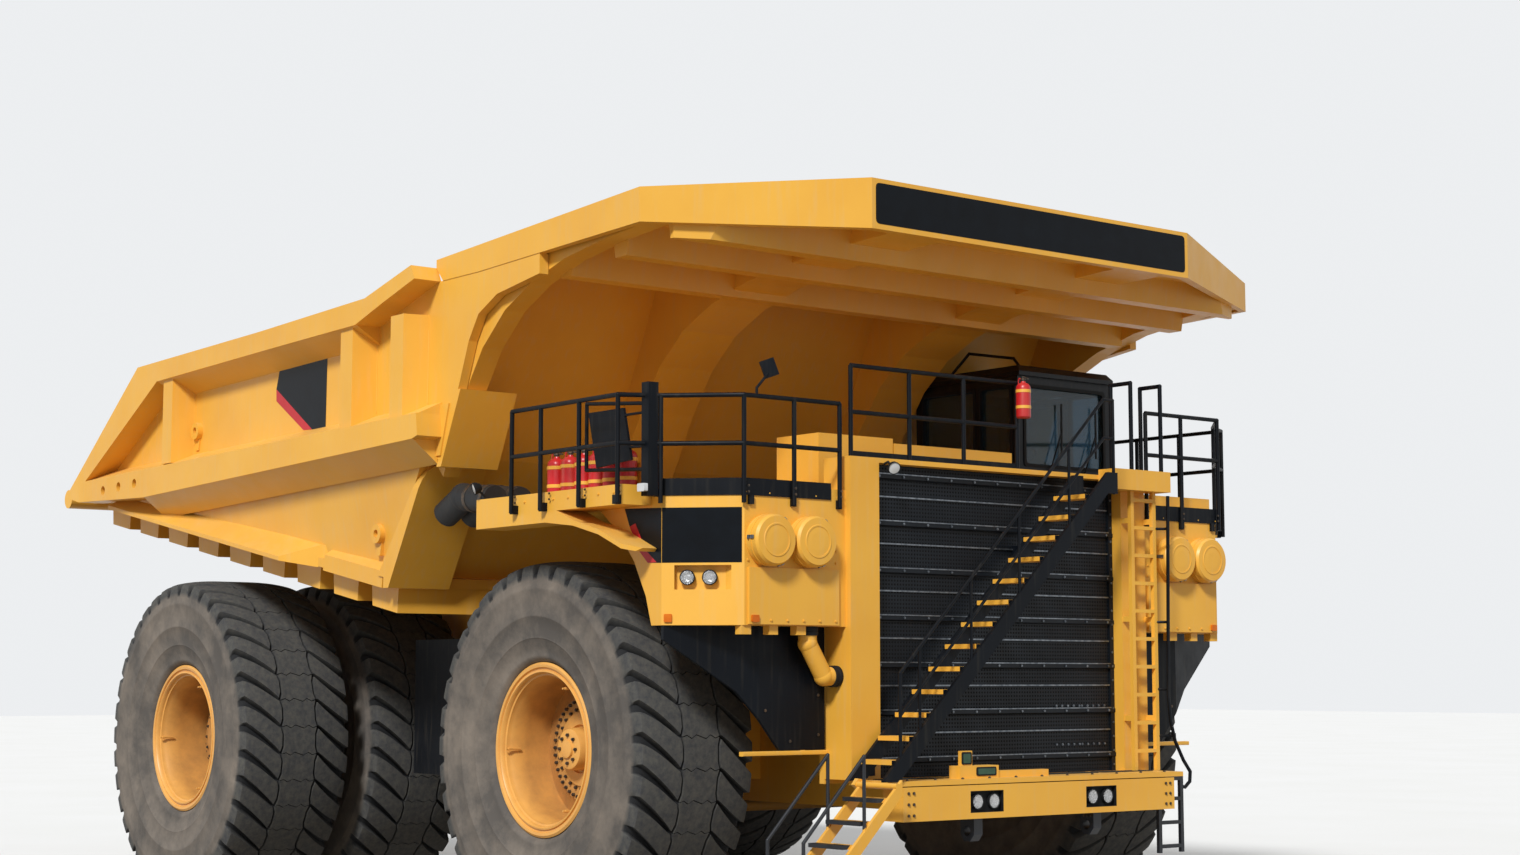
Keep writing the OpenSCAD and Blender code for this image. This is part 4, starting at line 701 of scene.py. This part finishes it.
# distance off the plate and thickness, of the panels and of the stripes over their edge
SHEET, FILM = (0.0005, 0.002), (0.0026, 0.001)
FENDER_SIDE = 4.08
FENDER_PANEL = [(5.387, 4.475), (5.477, 4.288), (5.652, 4.029), (5.79, 3.913), (6.017, 3.905), (6.017, 4.45)]
FENDER_STRIPE = FENDER_PANEL[1:4] + [(5.94, 3.913), (5.752, 4.044), (5.577, 4.318)]
panels = [on_side(side, FENDER_SIDE, FENDER_PANEL, SHEET) for side in SIDES]
panels += [plate([on_corner(side, along, -SHEET[0], z) for along, z in oblong((0.825, 3.905), (0.025, 4.45))],
                 off_corner(side, SHEET[1])) for side in SIDES]
piece("fender_panels", panels, panel_black)
stripes = [on_side(side, FENDER_SIDE, FENDER_STRIPE, FILM) for side in SIDES]
piece("fender_stripes", stripes, red_film)

# the cans: pressed steel drums with a band, a lid ring and three latches each
CAN_X, CAN_Z = 6.62, 4.13
BAND = [(0.2551, 0.020), (0.2575, 0.020), (0.2595, 0.030), (0.2575, 0.040), (0.2551, 0.040)]
LID_RING = [(0.150, 0.1795), (0.165, 0.1790), (0.170, 0.1835), (0.165, 0.1875), (0.150, 0.1875)]
paint(golden, "air_cleaners")
latches, bands = [], []
for y in (-3.24, -2.71, 2.71, 3.24):
    bands += [turned(outline, (CAN_X, y, CAN_Z), FORWARD, 64) for outline in (BAND, LID_RING)]
    for turn in (0.6, 2.7, 4.8):
        ca, sa = math.cos(turn), math.sin(turn)
        # a strap and the hook on it, 36 mm wide: from and to along the can, and how far out
        for low, high, out in ((0.035, 0.135, 0.262), (0.05, 0.075, 0.272)):
            ends = [(CAN_X + along, y + out * sa + wide * ca, CAN_Z + out * ca - wide * sa)
                    for along, wide in oblong((low, -0.018), (high, 0.018))]
            latches.append(plate(ends, (0, 0.006 * sa, 0.006 * ca)))
piece("can_bands", bands, golden)
piece("can_latches", latches, bare_steel_and_highlight)
# bolts under the cans, along the top edge in front, beside the cans and along the side
heads = []
for side in SIDES:
    heads += [((6.6505, side * (2.36 + 0.21 * i), 3.34), FORWARD) for i in range(6)]
    heads += [((6.6205, side * (2.30 + 0.3 * i), 4.60), FORWARD) for i in range(5)]
    heads += [((6.6205, side * y, z), FORWARD) for y in (2.33, 3.47) for z in (3.93, 4.05)]
    heads += [((4.1 + 0.27 * i, side * 4.4505, 4.60), (0, side, 0)) for i in range(7)]
bolts("fender_bolts", heads, 0.014, 0.009, golden)

# splash plates: black sheet hung under the fenders, bolted along a yellow ledge with a lug on it
paint(black, "splash_plates")
ledges = pair((6.27, 2.201, 2.00), (6.34, 3.30, 2.045), 0.01, 1)
ledges += pair((6.291, 2.50, 2.044), (6.329, 2.56, 2.09))
piece("splash_plate_ledges", ledges, golden)
heads = [((6.3305, side * y, z), FORWARD) for side in SIDES for y, z in
         ((2.33, 2.2), (2.33, 2.6), (2.33, 3.0), (2.6, 3.22), (3.0, 3.22), (2.7, 2.14), (3.02, 2.45))]
bolts("splash_plate_bolts", heads, 0.016, 0.010, nut_steel)
# rubber collars where the air pipe meets the fender and the pillar
COLLAR = [(0.0955, 0), (0.108, 0.004), (0.110, 0.035), (0.104, 0.045), (0.110, 0.055), (0.108, 0.088),
          (0.0955, 0.092)]
piece("pipe_collars", [turned(COLLAR, (6.48, -2.59, 3.289), (0, 0, -1), 40),
                       turned(COLLAR, (6.48, -2.201, 2.79), (0, -1, 0), 40)], flat_black_and_pocket_shade)


# The decks are plate on the fenders, with black toe boards and pipe rails whose posts are clamped to the
# edge. Yellow boxes stand on them, with a rack of red fire bottles on the right and one on the centre rail.
def pipe(path, radius, sides=10):
    """Points and faces of a round bar along a path, with square ends and its bends cut on the half angle."""
    path = [Vector(p) for p in path]
    points = []
    across = square_to(path[1] - path[0])[0]
    for i, here in enumerate(path):
        into = (here - path[i - 1]).normalized() if i else (path[1] - here).normalized()
        out = (path[i + 1] - here).normalized() if i + 1 < len(path) else into
        along = (into + out).normalized()
        across = (across - across.dot(into) * into).normalized()
        up = into.cross(across)
        for k in range(sides):
            t = 2 * math.pi * k / sides
            spot = radius * (math.cos(t) * across + math.sin(t) * up)
            points.append(tuple(here + spot - into * (spot.dot(along) / max(0.3, into.dot(along)))))
        across = (across - across.dot(out) * out).normalized()
    last = (len(path) - 1) * sides
    ends = [tuple(range(sides)), tuple(range(last, last + sides))]
    return points, woven(len(path), sides, closed=False) + ends


# a deep glossy red, sandy where dust settles on the shoulders
red_enamel = enamel("red_bottle_enamel", "#C01C22", "#A9191F", "#B98A72", 0.25, 0.15)
paint(black, "handrails", "mirrors")
paint(golden, "deck_boxes")
DECK_TOP = 4.68
# Bottles: place of the foot, radius, height
BOTTLES = [((3.80 + 0.26 * i, -3.85, DECK_TOP), 0.105, 0.52) for i in range(6)]
BOTTLES.append(((6.754, 0.24, 5.58), 0.080, 0.46))
# Shares of the radius and the height: the shell, the hose down its back, the valve and its lever
SHELL = [(0, 0.008), (0.88, 0), (1, 0.03), (1, 0.70), (0.93, 0.76), (0.70, 0.81), (0.34, 0.84), (0.30, 0.87),
         (0, 0.87)]
HOSE = [(-0.12, 0.92), (-0.75, 0.955), (-0.9, 0.90), (-0.93, 0.80)]
VALVE = [(0, 0.87), (0.24, 0.87), (0.24, 0.90), (0.36, 0.905), (0.36, 0.94), (0.18, 0.955), (0.18, 0.99),
         (0, 0.995)]
LEVER = [(0.1, 0.955), (0.95, 0.90), (0.95, 0.93), (0.1, 0.985)]
# the rack's bar outside the bottles and its plate behind them, then two rings round each bottle
clips = [box((3.66, -3.968, 4.70), (5.24, -3.960, 4.735)), box((3.66, -3.744, 4.6805), (5.24, -3.738, 4.98))]
shells, valves = [], []
for (x, y, z), r, height in BOTTLES:
    shells += [turned(drawn(SHELL, r, height), (x, y, z), UP, 32),
               pipe([(x + wide * r, y, z + up * height) for wide, up in HOSE], 0.08 * r, 8)]
    lever = [(x + wide * r, y - 0.012, z + up * height) for wide, up in LEVER]
    valves += [turned(drawn(VALVE, r, height), (x, y, z), UP, 12), plate(lever, (0, 0.024, 0))]
    clips += [turned(drawn(oblong((1.005, low), (1.04, low + 0.07)), r, height), (x, y, z), UP, 32)
              for low in (0.22, 0.60)]
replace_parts(piece("fire_bottles", shells, red_enamel), "bottles")
piece("bottle_valves", valves, nut_steel)
piece("bottle_clips", clips, golden)

# a small round-cornered mirror and a tall one, which both look back at the cab: silver clouded by dust
mirror_glass = finish_of("dusty_mirror_glass", "#B9C4CC", "#A7B2BA", (9, 5, 0.5), rough=(0.04, 0.14),
                         Metallic=1.0)
turn = Matrix.Rotation(math.radians(-30), 3, "Z") @ Matrix.Rotation(math.radians(20), 3, "X")
small = [Vector((6.65, -3.222, 5.85)) + turn @ Vector((-0.0185, y, z))
         for y, z in oblong((-0.065, -0.080), (0.065, 0.080))]
tall = [(x, -4.2155, z) for x, z in ((4.99, 5.45), (5.56, 5.45), (5.69, 4.96), (5.14, 4.93))]
piece("mirror_glasses", [plate(eased(small, 0.02), turn @ Vector((-0.003, 0, 0))),
                         plate(eased(tall, 0.03), (0, 0.003, 0))], mirror_glass)

# exhaust ends: black tube, browned by heat, with clamp bands at the flange and the elbow
paint(enamel("scorched_exhaust_enamel", "#15171A", "#201E1C", "#4B453C", 0.55, 0.3), "exhausts")
CLAMP = [(0.1505, -0.03), (0.156, -0.03), (0.159, -0.02), (0.159, 0.02), (0.156, 0.03), (0.1505, 0.03)]
# the tubes rise towards the back from this point
TUBE_X, TUBE_Z, TUBE_RISE = 3.15, 4.70, 0.0923
bands = [turned(CLAMP, (x, y, TUBE_Z + (TUBE_X - x) * TUBE_RISE), (-1, 0, TUBE_RISE), 48)
         for y in (-4.21, -3.88) for x in (3.06, 2.72)]
piece("exhaust_bands", bands, nut_steel)

# work lamps: one on each top corner of the guard, one at the back of the right deck, and a pale marker
LAMP_SHADE = [(0.0002, -0.06), (0.035, -0.055), (0.062, -0.01), (0.068, 0.03), (0.062, 0.034), (0.056, 0.01),
              (0.0002, 0.0)]
LAMP_FRONT = [(0.0002, 0.012), (0.055, 0.014), (0.061, 0.026), (0.030, 0.032), (0.0002, 0.033)]
shades, fronts = [], [box((5.96, -4.34, 4.60), (6.08, -4.295, DECK_TOP), 0.015, 1)]
# centre, the way it looks, foot of its stalk
for centre, way, foot in (((6.80, -1.70, 4.93), (0.9, -0.3, -0.4), (6.70, -1.74, 4.97)),
                          ((6.80, 1.66, 4.93), (0.9, 0.2, -0.4), (6.70, 1.72, 4.97)),
                          ((3.22, -4.50, 4.80), (-0.3, -0.9, -0.3), (3.24, -4.40, 4.69))):
    bend = ((foot[0] + centre[0]) / 2, foot[1] + 0.01, foot[2] + 0.02)
    shades += [turned(LAMP_SHADE, centre, way, 28), pipe([foot, bend, centre], 0.012, 8)]
    fronts.append(turned(LAMP_FRONT, centre, way, 28))
# frosted, so that the covers read as pale discs although the lamps are off
frosted = plastic("frosted_lamp_cover", "#C9CDD0", "#D9DCDE", 0.2)
piece("work_lamp_shades", shades, flat_black_and_pocket_shade)
piece("work_lamp_fronts", fronts, frosted)
# clamps at the feet of the rail posts, dark nuts on the deck's edge
heads = [((x, -4.4705, z), (0, -1, 0)) for x in (3.95, 4.6, 5.25, 5.85) for z in (4.60, 4.66)]
heads += [((6.6705, y, z), FORWARD) for y in (-3.5, -2.9, -2.3, 2.3, 2.9, 3.5) for z in (4.60, 4.66)]
bolts("rail_foot_bolts", heads, 0.013, 0.010, nut_steel)


# The cab is a steel box in black with tinted glass in rubber gaskets, a flat roof with a rail, and one door
# hung at its back edge. Inside are the seat, the dashboard and the steering wheel in dark trim.
def hoop(outer, inner, depth):
    """Points and faces of a flat frame between two outlines of as many points, made thick along depth."""
    lines = ((outer, (0, 0, 0)), (inner, (0, 0, 0)), (inner, depth), (outer, depth))
    return [tuple(Vector(p) + Vector(step)) for line, step in lines for p in line], woven(4, len(outer))


def gasket(axis, at, out, low, high):
    """Points and faces of the rubber round a window. The window lies square to an axis, at a place on it, and
    the rubber stands out from there; low and high are its corners in the other two directions."""
    rings = []
    # it covers 28 mm of the wall and 12 mm of the glass
    for grow in (0.028, -0.012):
        corners = oblong((low[0] - grow, low[1] - grow), (high[0] + grow, high[1] + grow))
        rings.append(eased([(at, a, b) if axis == 0 else (a, at, b) for a, b in corners], 0.05))
    return hoop(*rings, (out, 0, 0) if axis == 0 else (0, out, 0))


# satin black with a blue cast, a painted reflection of the sky on the roof
cab_black = enamel("satin_cab_enamel", "#070A0F", "#0D1117", "#45413A", 0.28, 0.3, gloss=0.25)
# blue grey and clear, with a thin film of dust
tinted_glass = finish_of("tinted_cab_glass", "#5C7A8C", "#6A8796", (3, 4, 0.5), rough=(0.02, 0.07),
                         Transmission_Weight=0.85, IOR=1.45)
# worn cloth and moulded panels, all one dull charcoal
trim = plastic("charcoal_cab_trim", "#1D1E20", "#26272A", 0.75)
paint(cab_black, "cab_shell", "cab_roof", "cab_door")
paint(tinted_glass, "cab_glass")
paint(trim, "cab_interior")
SILL, LINTEL = 5.33, 6.28
# Windows: axis and place of the wall, how far the rubber stands out, from and to along the wall
WINDOWS = [(0, 4.8, 0.012, 2.22, 3.58), (0, 3.0, -0.012, 2.30, 3.50), (1, 2.1, -0.012, 4.15, 4.68),
           (1, 2.1, -0.012, 3.12, 4.05), (1, 3.7, 0.012, 4.15, 4.68)]
rubbers = [gasket(axis, at, out, (start, SILL), (end, LINTEL)) for axis, at, out, start, end in WINDOWS]
piece("window_gaskets", rubbers, flat_black_and_pocket_shade)
handle = pipe([(3.93, 3.699, 5.10), (3.93, 3.745, 5.11), (3.93, 3.745, 5.27), (3.93, 3.699, 5.28)], 0.011)
piece("door_gasket_and_handle", [gasket(1, 3.7005, 0.010, (3.40, 5.40), (3.95, 6.22)), handle], flat_black_and_pocket_shade,
      "cab_door")
piece("door_pane", [box((3.405, 3.668, 5.405), (3.945, 3.676, 6.215), 0.03, 1)], tinted_glass,
      "cab_door")
# two wipers on the front window: a bent arm and a blade each
wipers = []
for y in (2.62, 3.22):
    wipers += [pipe([(4.80, y, 5.27), (4.835, y, 5.29), (4.835, y + 0.20, 5.78)], 0.009, 8),
               box((4.816, y + 0.19, 5.46), (4.828, y + 0.215, 6.10))]
piece("wipers", wipers, flat_black_and_pocket_shade)


# Stairs and ladders: black stringers with yellow treads across the guard, a yellow ladder on the left with a
# black grab bar beside it, and at the right bumper end a folding flight with black rails on a 60 mm pin.
GOING, RISE, TREADS = 0.234, 0.232, 13
paint(black, "diagonal_stair")
treads = []
for i in range(TREADS):
    y, z = GOING * i, RISE * i
    treads.append(box((6.7805, y - 2.1505, z + 1.9145), (7.2495, y - 1.9495, z + 1.9615), 0.006, 1))
piece("stair_treads", treads, golden)
# the short foot of the ladder, under the platform, is black
FOOT_TOP = 1.699
paint(enamel("ladder_enamel_black_foot", GOLD, FADED_GOLD, SAND, 0.36, 0.35, below(FOOT_TOP)), "left_ladder")
# the flight's stringers climb this steeply from the point on them given as y and z
SLOPE, ON_STRINGER, RAIL_CLEAR = 0.978, (-2.27, 1.78), 0.03


def rail_part(tree, place):
    """The share of the coat that is black: the flight's rails, clear above the line of its stringers."""
    axes = add(tree, "ShaderNodeSeparateXYZ", {"Vector": place}).outputs
    climb = add(tree, "ShaderNodeMath", {0: axes["Y"], 1: -SLOPE, 2: axes["Z"]}, operation="MULTIPLY_ADD")
    limit = ON_STRINGER[1] - SLOPE * ON_STRINGER[0] + RAIL_CLEAR
    return add(tree, "ShaderNodeMath", {0: climb.outputs[0], 1: limit}, operation="GREATER_THAN").outputs[0]


paint(enamel("flight_enamel_black_rails", GOLD, FADED_GOLD, SAND, 0.36, 0.4, rail_part), "access_stair")
# the grab bar lies in one plane, as y and z from its top; four brackets tie it to the ladder
GRAB_X = 6.95
GRAB = [(2.32, 4.82), (2.27, 2.57), (2.30, 2.30), (2.37, 2.07), (2.50, 1.86), (2.61, 1.73), (2.60, 1.62),
        (2.52, 1.56), (2.44, 1.57)]
grab = [pipe([(GRAB_X, y, z) for y, z in GRAB], 0.020, 12)]
grab += [pipe([(6.83, 2.215, z), (6.90, y - 0.01, z), (GRAB_X, y, z)], 0.016)
         for y, z in ((2.312, 4.45), (2.288, 3.40), (2.272, 2.65), (2.345, 2.13))]
piece("ladder_grab_bar", grab, black)


# The bed is welded from 20 to 25 mm wear plate with box rails and stiffeners outside, a leaning front wall
# and a canopy on four box ribs. The canopy's face carries a black panel, and so do both sides, with a red
# edge.
BED_SIDE, CANOPY_FACE = 4.55, 7.2625
paint(golden, "bed_floor", "bed_beams", "bed_side_right", "bed_side_left", "bed_front_wall", "bed_ribs",
      "bed_canopy")
fascia = [(CANOPY_FACE, y, z) for y, z in oblong((-2.33, 7.335), (2.33, 7.755))]
BED_PANEL = [(-1.286, 6.59), (-0.082, 6.585), (-0.094, 5.724), (-0.648, 5.746), (-1.371, 6.164),
             (-1.379, 6.314)]
BED_STRIPE = [(-1.371, 6.164), (-0.648, 5.746), (-0.430, 5.737), (-1.379, 6.314)]
panels = [plate(eased(fascia, 0.05), (0.002, 0, 0))]
panels += [on_side(side, BED_SIDE, BED_PANEL, SHEET) for side in SIDES]
piece("bed_panels", panels, panel_black, "bed")
stripes = [on_side(side, BED_SIDE, BED_STRIPE, FILM) for side in SIDES]
piece("bed_stripes", stripes, red_film, "bed")
# weld beads, 14 mm wide, down both edges of three stiffeners on each side
beads = [pipe([(x, side * (BED_SIDE + 0.003), z) for z in (5.80, 6.62)], 0.007, 6)
         for side in SIDES for stiffener in (-4.1, 0.7, 1.85) for x in (stiffener, stiffener + 0.42)]
piece("bed_weld_beads", beads, golden, "bed")


# Two telescopic hoists push the bed. Their barrels are painted tube; the stages and rods that slide out of
# them are ground and hard-chromed.

# bright steel under a film of oil that yellows it in clouds
chrome = finish_of("oiled_hard_chrome", "#C4C8CC", "#A39C90", (7, 6, 0.5), (0.4, 0.7), (0.1, 0.28),
                   Metallic=1.0)
# the barrels take the running gear's dusty coat with its painted shade
paint(shaded_dusty_golden, "hoist_barrels")
paint(chrome, "hoist_stages", "hoist_rods")


# The floor is pale matt board that keeps the truck's shadow; the plain surround behind it is lit to white.
# From below, the board lights the truck as dry ground would.
def seen_share(tree):
    """1 where the camera, a reflection or a view through glass looks, 0 for light that lands on the truck."""
    rays = add(tree, "ShaderNodeLightPath").outputs
    seen = rays["Is Camera Ray"]
    for also in ("Is Glossy Ray", "Is Transmission Ray"):
        seen = add(tree, "ShaderNodeMath", {0: seen, 1: rays[also]}, operation="MAXIMUM").outputs[0]
    return seen


def ground_light(tree, place, drift, tone):
    """The board's own tone where it is seen, and that of dry ground in the light that it throws back."""
    return {"Base Color": add(tree, "ShaderNodeMix", {0: seen_share(tree), 6: linear("#8A7F70"), 7: tone},
                              data_type="RGBA").outputs[2]}


# so wide that the camera sees its edge close to the horizon
REACH = 150
floor_mesh = bpy.data.meshes.new("studio_floor")
floor_mesh.from_pydata([(x, y, 0) for x, y in oblong((-REACH, -REACH), (REACH, REACH))], [], [(0, 1, 2, 3)])
floor_mesh.materials.append(finish_of("matt_studio_board", "#DADAD8", "#DDDDDC", (0.3, 3, 0.5), (0.3, 0.7),
                                      layers=ground_light, Roughness=0.9))
placed("studio_floor", floor_mesh)

# Bright soft daylight from the right of the nose, a weaker light from behind, and a pale surround. Each sun
# has the way that it shines, its strength and its width in degrees.
SUNS = [("key", (-0.45, 0.65, -0.62), 3.3, 10), ("rim", (0.7, -0.5, -0.6), 0.7, 30)]
for name, way, strength, width in SUNS:
    sun = aimed(name, bpy.data.lights.new(name, "SUN"), way)
    sun.data.energy = strength
    sun.data.angle = math.radians(width)
world = bpy.data.worlds.new("studio")
world.use_nodes = True
bpy.context.scene.world = world
surround = world.node_tree
surround.nodes.clear()
glow = add(surround, "ShaderNodeMapRange", {"Value": seen_share(surround), "To Min": 0.5, "To Max": 0.95})
sky = add(surround, "ShaderNodeBackground", {"Color": linear("#F2F4F6"), "Strength": glow.outputs[0]})
add(surround, "ShaderNodeOutputWorld", {"Surface": sky.outputs[0]})

bpy.context.scene.view_settings.view_transform = "Standard"
